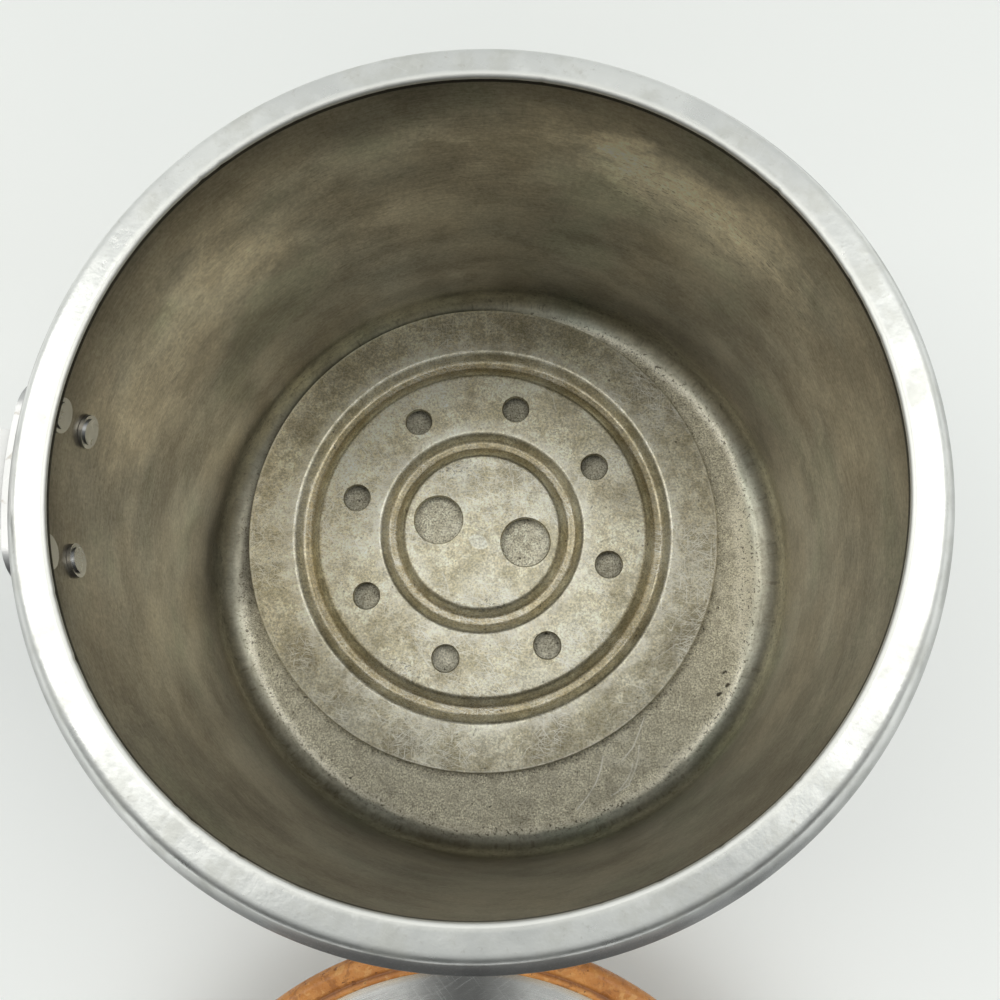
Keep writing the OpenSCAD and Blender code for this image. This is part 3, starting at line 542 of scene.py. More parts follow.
def mat_rim():
    m = Mat("aluminium_rim", 1.0, (0.86, 0.865, 0.85), 0.34)
    a = m.noise(m.P, 105.0, 4.0, 0.6)
    b = m.noise(m.mapping(m.P, loc=(4, 4, 1)), 520.0, 3.0, 0.65)
    c = m.noise(m.mapping(m.P, loc=(1, 7, 3)), 38.0, 3.0, 0.55)
    col = m.mix(m.ramp(c, 0.36, 0.64), (0.76, 0.765, 0.75), (0.88, 0.885, 0.865))
    col = m.mix(m.ramp(a, 0.46, 0.66, 0.0, 0.60), col, (0.66, 0.66, 0.62))
    col = m.mix(m.ramp(b, 0.58, 0.74, 0.0, 0.5), col, (0.60, 0.59, 0.55))
    # bright spots where the stain has worn off, mostly along the inner edge
    x, y, z = m.xyz(m.P)
    r = m.math("SQRT", m.math("ADD", m.math("MULTIPLY", x, x), m.math("MULTIPLY", y, y)))
    inner = m.ramp(r, 0.0912, 0.0945, 1.0, 0.25)
    sp = m.math("MULTIPLY", m.ramp(m.noise(m.mapping(m.P, loc=(9, 2, 5)), 210.0, 3.0, 0.6), 0.54, 0.66), inner)
    col = m.mix(m.math("MULTIPLY", sp, 0.6), col, (0.96, 0.96, 0.94))
    # the worn, polished lip with a painted highlight on it, and its small nicks
    col = m.mix(m.ramp(m.math("ADD", r, m.math("MULTIPLY", m.math("SUBTRACT", a, 0.5), 0.0016)), 0.0918, 0.0926, 0.85, 0.0), col, (0.93, 0.925, 0.89))
    # painted shade (a dark reflection) on the shoulder low down, most of all on the near side
    near = m.math("MULTIPLY", m.ramp(y, -0.090, -0.055, 1.0, 0.0), m.ramp(x, -0.065, -0.020, 0.0, 1.0))
    near = m.math("MULTIPLY", near, m.ramp(x, 0.012, 0.058, 1.0, 0.65))
    low = m.math("SUBTRACT", z, m.math("MULTIPLY", near, 0.0010))
    band = m.ramp(m.math("ADD", low, m.math("MULTIPLY", m.math("SUBTRACT", c, 0.5), 0.003)), 0.1455, 0.1488, 1.0, 0.0)
    col = m.mix(m.math("MULTIPLY", band, m.ramp(near, 0.0, 1.0, 0.45, 0.94, smooth=False)), col, (0.125, 0.129, 0.133))
    col = m.mix(m.math("MULTIPLY", m.math("MULTIPLY", near, m.ramp(z, 0.14865, 0.1493, 1.0, 0.0)), 0.80), col, (0.125, 0.129, 0.133))
    s = m.math("MAXIMUM", m.streaks(m.P, 0.010, 0.00016, 0.66, 0.74, 0.5, 2.0), m.streaks(m.P, 0.008, 0.00014, 0.67, 0.75, 2.1, 7.0))
    col = m.mix(m.math("MULTIPLY", s, 0.22), col, (0.97, 0.97, 0.96))
    lip = m.ramp(r, 0.0914, 0.0922, 1.0, 0.0)
    m.set(Base_Color=col, Roughness=m.math("MAXIMUM", m.ramp(a, 0.3, 0.72, 0.27, 0.42), m.math("MULTIPLY", lip, 0.52)),
          Anisotropic=0.35, Anisotropic_Rotation=0.25)
    tangent_ring(m)
    m.bump(b, 0.00010, 0.4)
    m.bump(a, 0.00035, 0.35)
    return m.m


def mat_outside():
    m = Mat("aluminium_outside", 1.0, (0.75, 0.75, 0.74), 0.33)
    a = m.noise(m.P, 22.0, 5.0, 0.6)
    lines = m.noise(m.mapping(m.P, (22, 22, 2400)), 1.0, 2.0, 0.6)
    b = m.noise(m.P, 260.0, 4.0, 0.65)
    col = m.mix(m.ramp(a, 0.35, 0.7), (0.66, 0.655, 0.64), (0.80, 0.80, 0.79))
    col = m.mix(m.ramp(b, 0.6, 0.8, 0.0, 0.4), col, (0.50, 0.48, 0.44))
    col = m.mix(m.ramp(lines, 0.55, 0.75, 0.0, 0.35), col, (0.88, 0.88, 0.87))
    z = m.xyz(m.P)[2]
    low = m.math("MULTIPLY", m.ramp(z, 0.0, 0.030, 1.0, 0.0), m.ramp(a, 0.3, 0.6))
    col = m.mix(m.math("MULTIPLY", low, 0.6), col, (0.30, 0.24, 0.17))
    base = m.ramp(z, 0.0002, 0.0012, 1.0, 0.0)
    soot = m.noise(m.mapping(m.P, loc=(3, 3, 3)), 60.0, 5.0, 0.65)
    col = m.mix(m.math("MULTIPLY", base, m.ramp(soot, 0.35, 0.65, 0.25, 0.85)), col, (0.20, 0.165, 0.12))
    s = m.math("MAXIMUM", m.contours(m.P, 26.0, 0.0022, 5.0), m.contours(m.P, 34.0, 0.0018, 11.0))
    keep = m.ramp(m.noise(m.mapping(m.P, loc=(2, 6, 2)), 40.0, 2.0), 0.52, 0.62)
    col = m.mix(m.math("MULTIPLY", m.math("MULTIPLY", s, keep), 0.6), col, (0.93, 0.93, 0.92))
    m.set(Base_Color=col, Roughness=m.ramp(a, 0.3, 0.75, 0.25, 0.38), Anisotropic=0.5, Anisotropic_Rotation=0.25)
    tangent_ring(m)
    m.bump(lines, 0.00003, 0.6)
    return m.m


def on_rack(*pts):
    """Points given in mm from the rack's centre, on its upper face."""
    return [(x + RACK_C[0], y + RACK_C[1], RACK_Z) for x, y in pts]


def mat_rack():
    m = Mat("aluminium_rack", 1.0, (0.7, 0.66, 0.55), 0.44)
    wear_and_highlight, dirt, stain, pale = m.attr("wear_and_highlight"), m.attr("dirt"), m.attr("stain"), m.attr("pale")
    x, y, z = m.xyz(m.P)
    dx = m.math("SUBTRACT", x, RACK_C[0] * MM)
    dy = m.math("SUBTRACT", y, RACK_C[1] * MM)
    r = m.math("SQRT", m.math("ADD", m.math("MULTIPLY", dx, dx), m.math("MULTIPLY", dy, dy)))
    a = m.noise(m.P, 50.0, 4.0, 0.6)
    b = m.noise(m.mapping(m.P, loc=(5, 9, 2)), 150.0, 4.0, 0.62)
    blot = m.noise(m.warp(m.mapping(m.P, loc=(3, 4, 8)), 240.0, 0.004), 250.0, 4.0, 0.62)
    d = m.noise(m.mapping(m.P, loc=(1, 2, 7)), 330.0, 3.0, 0.6)
    grain = m.noise(m.mapping(m.P, loc=(6, 3, 1)), 1300.0, 4.0, 0.74)
    fleck = m.noise(m.mapping(m.P, loc=(8, 8, 4)), 1500.0, 2.0, 0.6)
    col = m.mix(m.ramp(a, 0.36, 0.66), RACK_LO, RACK_HI)
    col = m.mix(m.ramp(b, 0.51, 0.62, 0.0, 0.42), col, (0.54, 0.48, 0.33))
    col = m.mix(m.ramp(b, 0.35, 0.46, 0.40, 0.0), col, (0.97, 0.922, 0.745))
    col = m.mix(m.ramp(blot, 0.505, 0.525, 0.0, 0.46), col, (0.53, 0.47, 0.325))
    col = m.mix(m.ramp(blot, 0.42, 0.44, 0.46, 0.0), col, (1.0, 0.955, 0.78))
    patch = m.noise(m.warp(m.mapping(m.P, loc=(11, 5, 6)), 130.0, 0.010), 85.0, 5.0, 0.66)
    col = m.mix(m.ramp(patch, 0.532, 0.543, 0.0, 0.50), col, (0.53, 0.47, 0.30))
    col = m.mix(m.ramp(patch, 0.424, 0.434, 0.55, 0.0), col, (1.0, 0.952, 0.765))
    st = m.math("MULTIPLY", stain, m.ramp(d, 0.34, 0.56, 0.45, 1.0))
    col = m.mix(m.math("MULTIPLY", st, 0.85), col, (0.40, 0.34, 0.22))
    col = m.mix(m.math("MULTIPLY", m.math("MULTIPLY", m.math("SUBTRACT", 1.0, stain), pale), m.ramp(d, 0.30, 0.50, 0.7, 1.0)),
                col, (1.0, 0.965, 0.82))
    col = m.mix(m.math("MULTIPLY", dirt, m.ramp(b, 0.25, 0.65, 0.50, 0.85)), col, (0.62, 0.51, 0.30))
    # fine lines left by the press run round the grooves
    inv = m.math("DIVIDE", 0.05, m.math("MAXIMUM", r, 0.001))
    rnd = m.node("ShaderNodeCombineXYZ")
    m.link(m.math("MULTIPLY", dx, inv), rnd.inputs[0])
    m.link(m.math("MULTIPLY", dy, inv), rnd.inputs[1])
    m.link(r, rnd.inputs[2])
    press = m.noise(m.mapping(rnd.outputs[0], (60, 60, 1500)), 1.0, 3.0, 0.6)
    col = m.mix(m.math("MULTIPLY", dirt, m.ramp(press, 0.50, 0.62, 0.0, 0.45)), col, (0.30, 0.25, 0.16))
    col = m.mix(m.math("MULTIPLY", dirt, m.ramp(press, 0.38, 0.46, 0.28, 0.0)), col, (0.90, 0.82, 0.62))
    # the worn oval by the centre
    u = m.math("ADD", m.math("MULTIPLY", m.math("ADD", dx, 0.0010), 0.91), m.math("MULTIPLY", m.math("ADD", dy, 0.0040), -0.41))
    v = m.math("ADD", m.math("MULTIPLY", m.math("ADD", dx, 0.0010), 0.41), m.math("MULTIPLY", m.math("ADD", dy, 0.0040), 0.91))
    u, v = m.math("DIVIDE", u, 0.0038), m.math("DIVIDE", v, 0.0026)
    oval = m.math("SQRT", m.math("ADD", m.math("MULTIPLY", u, u), m.math("MULTIPLY", v, v)))
    oval = m.ramp(m.math("ADD", oval, m.math("MULTIPLY", m.math("SUBTRACT", d, 0.5), 0.6)), 0.86, 1.02, 0.75, 0.0)
    col = m.mix(oval, col, (0.98, 0.95, 0.82))
    # pitted grain over everything
    tone = m.ramp(grain, 0.37, 0.63, 1.24, 0.70)
    col = m.mix(1.0, col, tone, "MULTIPLY")
    col = m.mix(m.ramp(fleck, 0.62, 0.68, 0.0, 0.40), col, (1.0, 0.98, 0.92))
    col = m.mix(m.ramp(fleck, 0.31, 0.38, 0.40, 0.0), col, (0.26, 0.23, 0.17))
    pits = m.ramp(m.noise(m.mapping(m.P, loc=(2, 8, 1)), 560.0, 2.0, 0.5), 0.70, 0.745)
    most = m.polylines(m.P, [on_rack((-13, 21.5), (-5, 23)), on_rack((1, -26.5), (6, -26)), on_rack((-31, -47), (-24, -50)),
                             on_rack((51, -36.5), (55, -34))], 0.0042)
    more = m.math("MULTIPLY", most, m.ramp(m.noise(m.mapping(m.P, loc=(4, 1, 1)), 800.0, 2.0, 0.6), 0.56, 0.61))
    pits = m.math("MAXIMUM", pits, more)
    col = m.mix(m.math("MULTIPLY", pits, 0.75), col, (0.07, 0.055, 0.035))
    # painted shade towards the edge, and painted light and shade by side: lighter on the +Y and -X sides, darker on the
    # -Y and +X sides
    out = m.ramp(m.math("ADD", r, m.math("MULTIPLY", m.math("SUBTRACT", b, 0.5), 0.012)), 0.062, 0.080, 1.0, 0.81)
    far = m.ramp(m.math("ADD", dy, m.math("MULTIPLY", m.math("SUBTRACT", a, 0.5), 0.03)), -0.080, 0.080, 0.93, 1.08, smooth=False)
    far = m.math("MULTIPLY", far, m.ramp(m.math("ADD", x, m.math("MULTIPLY", m.math("SUBTRACT", b, 0.5), 0.03)), -0.065, 0.055, 1.09, 0.96, smooth=False))
    col = m.mix(1.0, col, m.math("MULTIPLY", out, far), "MULTIPLY")
    # worn, polished shoulders, edges and hole rims, with a painted highlight on them
    col = m.mix(m.math("MULTIPLY", wear_and_highlight, m.ramp(d, 0.36, 0.60, 0.70, 0.20)), col, (0.96, 0.925, 0.82))
    # scratches: short straight ones in several directions and a few long curls
    s = m.streaks(m.P, 0.0085, 0.00026, 0.61, 0.68, 0.35, 1.0)
    for rot, seed in ((0.95, 4.0), (1.65, 9.0), (2.4, 6.0), (2.9, 2.0), (0.1, 12.0)):
        s = m.math("MAXIMUM", s, m.streaks(m.P, 0.0070, 0.00024, 0.62, 0.69, rot, seed))
    keep = m.ramp(m.noise(m.mapping(m.P, loc=(2, 2, 2)), 48.0, 2.0), 0.44, 0.58, 0.25, 1.0)
    curl = m.math("MULTIPLY", m.contours(m.P, 42.0, 0.0020, 3.0), keep)
    curl = m.math("MAXIMUM", curl, m.math("MULTIPLY", m.contours(m.P, 90.0, 0.0032, 8.0), m.ramp(a, 0.48, 0.58)))
    s = m.math("MAXIMUM", m.math("MULTIPLY", s, keep), curl)
    col = m.mix(m.math("MULTIPLY", s, 0.85), col, (1.0, 0.98, 0.90))
    marks = [on_rack((9.4, 25), (11, 17), (12, 9)), on_rack((-13.5, -14.5), (-12, -19), (-11, -23)),
             on_rack((-50, 46), (-43, 53), (-36, 56.5)), on_rack((58, -46), (67, -40), (72, -43)),
             on_rack((-76, 12), (-70, 16), (-64, 22)), on_rack((22, 53), (26, 49), (27, 44))]
    crease = m.polylines(m.warp(m.P, 110.0, 0.0012), marks, 0.00028)
    col = m.mix(m.math("MULTIPLY", crease, 0.42), col, (1.0, 0.98, 0.92))
    # painted shade on the flanks of the grooves
    col = m.mix(1.0, col, m.mix(m.attr("flank"), (1.0, 1.0, 1.0), (0.80, 0.81, 0.82)), "MULTIPLY")
    m.set(Base_Color=col, Roughness=m.ramp(b, 0.3, 0.7, 0.33, 0.46))
    m.bump(a, 0.0006, 0.35)
    m.bump(m.math("SUBTRACT", grain, m.math("MULTIPLY", pits, 0.8)), 0.00012, 0.28)
    m.bump(m.math("SUBTRACT", blot, m.math("MULTIPLY", s, 0.20)), 0.0003, 0.30)
    return m.m


RACK_LO, RACK_HI = (0.75, 0.676, 0.485), (0.94, 0.86, 0.652)


def mat_gasket():
    m = Mat("rubber_orange", 0.0, (0.52, 0.22, 0.07), 0.5)
    a = m.noise(m.P, 90.0, 5.0, 0.62)
    b = m.noise(m.P, 420.0, 4.0, 0.7)
    cr = m.voronoi(m.warp(m.P, 200.0, 0.004), 420.0, feature="DISTANCE_TO_EDGE")
    crack = m.math("MULTIPLY", m.ramp(cr, 0.0, 0.04, 0.45, 0.0), m.ramp(a, 0.50, 0.66))
    pits = m.ramp(m.noise(m.mapping(m.P, loc=(2, 8, 1)), 600.0, 2.0, 0.5), 0.66, 0.74)
    col = m.mix(m.ramp(a, 0.35, 0.68), (0.46, 0.172, 0.036), (0.66, 0.283, 0.072))
    col = m.mix(m.ramp(b, 0.5, 0.75, 0.0, 0.6), col, (0.72, 0.39, 0.13))
    worn = m.noise(m.warp(m.mapping(m.P, loc=(4, 6, 2)), 160.0, 0.006), 230.0, 4.0, 0.66)
    col = m.mix(m.ramp(worn, 0.555, 0.60, 0.0, 0.55), col, (0.27, 0.095, 0.022))
    col = m.mix(m.ramp(worn, 0.38, 0.42, 0.40, 0.0), col, (0.80, 0.46, 0.17))
    col = m.mix(m.math("MULTIPLY", m.math("MAXIMUM", crack, pits), 0.8), col, (0.17, 0.06, 0.02))
    # painted shade in the fine groove and along the join with the disc
    col = m.mix(m.math("MULTIPLY", m.attr("groove"), 0.75), col, (0.22, 0.085, 0.03))
    m.set(Base_Color=col, Roughness=m.ramp(b, 0.35, 0.7, 0.24, 0.48))
    m.bump(b, 0.0003, 0.6)
    m.bump(m.math("SUBTRACT", 1.0, m.math("MAXIMUM", crack, pits)), 0.00025, 0.7)
    return m.m


def mat_disc():
    m = Mat("steel_brushed_disc", 1.0, (0.58, 0.57, 0.56), 0.25)
    # the brushing runs round the disc's own centre
    x, y, z = m.xyz(m.P)
    dx = m.math("SUBTRACT", x, LID_C[0] * MM)
    dy = m.math("SUBTRACT", y, LID_C[1] * MM)
    r = m.math("SQRT", m.math("ADD", m.math("MULTIPLY", dx, dx), m.math("MULTIPLY", dy, dy)))
    n = m.node("ShaderNodeCombineXYZ")
    m.link(m.math("MULTIPLY", r, 1.0), n.inputs[0])
    m.link(m.math("MULTIPLY", m.math("ARCTAN2", dy, dx), 0.0012), n.inputs[1])
    rings = m.noise(m.mapping(n.outputs[0], (4200, 4200, 1)), 1.0, 3.0, 0.7)
    a = m.noise(m.P, 60.0, 5.0, 0.6)
    col = m.mix(m.ramp(a, 0.3, 0.7), (0.48, 0.47, 0.46), (0.60, 0.595, 0.58))
    col = m.mix(m.ramp(rings, 0.3, 0.7, 0.0, 0.4), col, (0.72, 0.72, 0.71))
    col = m.mix(m.math("MULTIPLY", m.ramp(r, 0.0868, 0.0892), m.ramp(a, 0.35, 0.55, 0.2, 0.7)), col, (0.60, 0.46, 0.30))
    # painted reflection: a dark wedge along the Y axis through the disc's centre, painted highlight on the rest
    sector = m.math("ABSOLUTE", m.math("DIVIDE", dx, m.math("MAXIMUM", r, 0.001)))
    sector = m.math("ADD", sector, m.math("MULTIPLY", m.math("SUBTRACT", a, 0.5), 0.10))
    col = m.mix(1.0, col, m.ramp(sector, 0.02, 0.30, 0.36, 1.32), "MULTIPLY")
    s = m.math("MAXIMUM", m.streaks(m.P, 0.016, 0.00016, 0.67, 0.73, 0.9, 2.0), m.streaks(m.P, 0.012, 0.00014, 0.67, 0.73, 2.6, 5.0))
    col = m.mix(m.math("MULTIPLY", s, 0.4), col, (0.93, 0.93, 0.92))
    m.set(Base_Color=col, Roughness=m.ramp(rings, 0.3, 0.7, 0.22, 0.34), Anisotropic=0.8, Anisotropic_Rotation=0.25)
    tangent_ring(m)
    m.bump(rings, 0.00003, 0.6)
    return m.m


def mat_steel(name="steel_satin", color=(0.60, 0.60, 0.60), rough=0.3, scale=1.0):
    m = Mat(name, 1.0, color, rough)
    a = m.noise(m.P, 90.0 * scale, 5.0, 0.6)
    lines = m.noise(m.mapping(m.P, (300, 2600, 2600)), 1.0, 2.0, 0.6)
    lo = tuple(c * 0.82 for c in color)
    hi = tuple(min(1, c * 1.15) for c in color)
    col = m.mix(m.ramp(a, 0.3, 0.7), lo, hi)
    s = m.math("MAXIMUM", m.contours(m.P, 90.0, 0.003, 2.0), m.streaks(m.P, 0.008, 0.00015, 0.68, 0.74, 0.6, 3.0))
    keep = m.ramp(m.noise(m.mapping(m.P, loc=(2, 6, 2)), 110.0, 2.0), 0.50, 0.60)
    col = m.mix(m.math("MULTIPLY", m.math("MULTIPLY", s, keep), 0.55), col, (0.88, 0.88, 0.88))
    spots = m.ramp(m.noise(m.mapping(m.P, loc=(7, 1, 4)), 300.0, 4.0, 0.6), 0.62, 0.72)
    col = m.mix(m.math("MULTIPLY", spots, 0.45), col, tuple(c * f for c, f in zip(color, (0.50, 0.42, 0.32))))
    m.set(Base_Color=col, Roughness=m.ramp(a, 0.3, 0.7, rough * 0.85, rough * 1.3))
    m.bump(lines, 0.00003, 0.4)
    m.bump(a, 0.0003, 0.15)
    return m.m


def mat_phenolic():
    m = Mat("phenolic_black", 0.0, (0.012, 0.011, 0.010), 0.32)
    a = m.noise(m.P, 70.0, 5.0, 0.6)
    b = m.noise(m.P, 600.0, 3.0, 0.6)
    col = m.mix(m.ramp(a, 0.35, 0.7), (0.010, 0.009, 0.008), (0.026, 0.021, 0.017))
    s = m.math("MAXIMUM", m.contours(m.P, 60.0, 0.002, 6.0), m.streaks(m.P, 0.009, 0.00016, 0.68, 0.74, 0.4, 6.0))
    keep = m.ramp(m.noise(m.mapping(m.P, loc=(2, 6, 2)), 80.0, 2.0), 0.50, 0.60)
    col = m.mix(m.math("MULTIPLY", m.math("MULTIPLY", s, keep), 0.5), col, (0.11, 0.10, 0.09))
    dull = m.ramp(m.noise(m.mapping(m.P, loc=(1, 1, 6)), 30.0, 4.0, 0.6), 0.45, 0.65)
    col = m.mix(m.math("MULTIPLY", dull, 0.5), col, (0.045, 0.036, 0.028))
    m.set(Base_Color=col, Roughness=m.ramp(a, 0.3, 0.7, 0.26, 0.46))
    m.bump(b, 0.00005, 0.4)
    m.bump(a, 0.0005, 0.15)
    return m.m


def mat_black_rubber():
    m = Mat("rubber_black", 0.0, (0.02, 0.02, 0.02), 0.6)
    b = m.noise(m.P, 500.0, 4.0, 0.6)
    m.set(Base_Color=m.mix(m.ramp(b, 0.3, 0.7), (0.014, 0.014, 0.014), (0.035, 0.034, 0.033)),
          Roughness=m.ramp(b, 0.3, 0.7, 0.5, 0.7))
    m.bump(b, 0.0001, 0.4)
    return m.m


INSIDE, RIM, OUTSIDE = mat_pot_inside(), mat_rim(), mat_outside()
RACK, GASKET, DISC = mat_rack(), mat_gasket(), mat_disc()
STEEL = mat_steel()
BRASS = mat_steel("brass_dull", (0.52, 0.38, 0.17), 0.34)
PHENOLIC, BLACK_RUBBER = mat_phenolic(), mat_black_rubber()


# ------------------------------------------------------------------ pot
def make_pot():
    lip, low_lip = 1.0, 0.4
    under = POT_H - RIM_T
    ur = RIM_R - RIM_T
    p, mat = [], []

    def add(points, k):
        for q in points:
            p.append(q)
            mat.append(k)

    # underside and outside, from the centre out and up
    add([(0, 0)] + [(r, 0) for r in (20, 45, 70, 82, 87)], 2)
    add(arc(POT_R - BASE_R, BASE_R, BASE_R, -90, 0, 14), 2)
    top_out = POT_H - 6.57
    add([(POT_R, BASE_R + (top_out - BASE_R) * t / 14) for t in range(1, 14)], 2)
    # the rim's shoulder: a rounding, a slope and a smaller rounding up to the flat
    add(arc(98.6, top_out, 3.0, 0, 35, 6), 1)
    add([(98.494 + 2.563 * t, POT_H - 1.194 - 3.657 * t) for t in (0.75, 0.5, 0.25)], 1)
    add(arc(96.2, POT_H - 2.8, 2.8, 35, 90, 9), 1)
    add([(r, POT_H) for r in (95.2, 94.3, 93.4, 92.7)], 1)
    add(arc(MOUTH_R + lip, POT_H - lip, lip, 90, 180, 8), 1)
    add([(MOUTH_R, POT_H - lip - 0.2)], 0)
    add(arc(MOUTH_R + low_lip, under + low_lip, low_lip, 180, 270, 4), 0)
    add([(MOUTH_R + 2.0, under), (WALL_IN - ur - 0.6, under)], 0)
    add(arc(WALL_IN - ur, under - ur, ur, 90, 0, 8), 0)
    top, low = under - ur, BASE_T + FLOOR_R
    add([(WALL_IN, top + (low - top) * t / 44) for t in range(1, 44)], 0)
    add(arc(WALL_IN - FLOOR_R, BASE_T + FLOOR_R, FLOOR_R, 0, -90, 18), 0)
    add([(r, BASE_T) for r in (86, 83, 80, 75, 70, 60, 45, 30, 15)] + [(0, BASE_T)], 0)

    rnd = random.Random(7)
    nicks = [(rnd.uniform(0, 2 * math.pi), rnd.uniform(0.004, 0.012), rnd.uniform(0.05, 0.22)) for _ in range(38)]

    def shape(r, z, a, i):
        x, y = r * math.cos(a), r * math.sin(a)
        if z > POT_H - 6 and r > 89:
            z -= 0.10 * (0.5 + 0.5 * nz(x, y, 0, 0.06)) + 0.06 * (0.5 + 0.5 * nz(x, y, 5, 0.3))
            if r < MOUTH_R + 1.2 and z > POT_H - 1.6:
                for c, w, d in nicks:
                    t = abs((a - c + math.pi) % (2 * math.pi) - math.pi)
                    if t < w:
                        r += d * (1 - t / w)
        if WALL_IN - 0.5 < r < WALL_IN + 0.5 and 16 < z < POT_H - 8:
            r += 0.10 * nz(x, y, z * 0.6, 0.035)
        return r, z

    bm = lathe(p, 512, shape=shape, closed=False, mat_of=lambda i: mat[i])
    finish_mesh("pot_body", bm, [INSIDE, RIM, OUTSIDE], "pot", ["pot_shell"], sharp=60)


# ------------------------------------------------------------------ steam rack
def groove_z(r):
    z = 0.0
    for g, w_in, w_out, flat in GROOVES:
        d = abs(r - g) - flat
        w = (w_in if r < g else w_out) - flat
        if d < w:
            z -= GROOVE_D * (0.5 + 0.5 * math.cos(math.pi * max(0.0, d) / w))
    return z


def flank_of(r):
    f = 0.0
    for g, w_in, w_out, flat in GROOVES:
        d = abs(r - g) - flat
        w = (w_in if r < g else w_out) - flat
        if 0 < d < w:
            f = max(f, math.sin(math.pi * d / w))
    return f


HOLES = [(46.3 * math.cos(math.radians(29.6 + 45 * k)), 46.3 * math.sin(math.radians(29.6 + 45 * k)), 4.6, 48) for k in range(8)]
HOLES += [(-15.3, 4.1, 8.55, 72), (15.5, -4.2, 8.55, 72)]
# soft stains and worn places: x, y from the rack's centre, radius, strength
STAINS = [(15, 76, 9, .6), (6, 68, 9, .45), (-53, 57, 7, .7), (-42, 68, 8, .5), (-64, 38, 6, .7), (-26, 45, 5, .6),
          (47, 12, 9, .6), (-63, -43, 9, .6), (-47, -50, 8, .5), (73, -37, 8, .7), (67, -42, 7, .5), (-29, -34, 7, .6),
          (30, 44, 6, .5), (52, -34, 6, .6), (2, -11, 5, .4), (-10, 16, 4, .35), (9, 20, 5, .45), (-48, -12, 6, .45),
          (-31, 26, 7, .4), (-12, -47, 7, .45), (24, -70, 9, .5), (-28, -73, 8, .4), (60, 52, 7, .5), (-75, -5, 6, .5),
          (26, 75, 7, .5), (39, -12, 5, .4), (-5, 47, 6, .45), (47, -22, 6, .45)]
PALE = [(-15, 50, 7, .5), (-7, 19, 4, .6), (-4, 25, 3.5, .5), (0, -18, 6, .45), (8, -22, 5, .5), (24, -19, 5, .6),
        (-68, 7, 7, .5), (-44, -66, 8, .5), (32, -34, 7, .5), (66, 11, 5, .4), (-18, -71, 6, .4), (-22, -14, 5, .45),
        (-50, 24, 6, .35), (20, -50, 6, .5), (70, -12, 6, .35), (-60, 24, 5, .5), (2, -65, 8, .35), (53, 30, 5, .3),
        (-36, 8, 6, .35), (41, 28, 5, .35)]


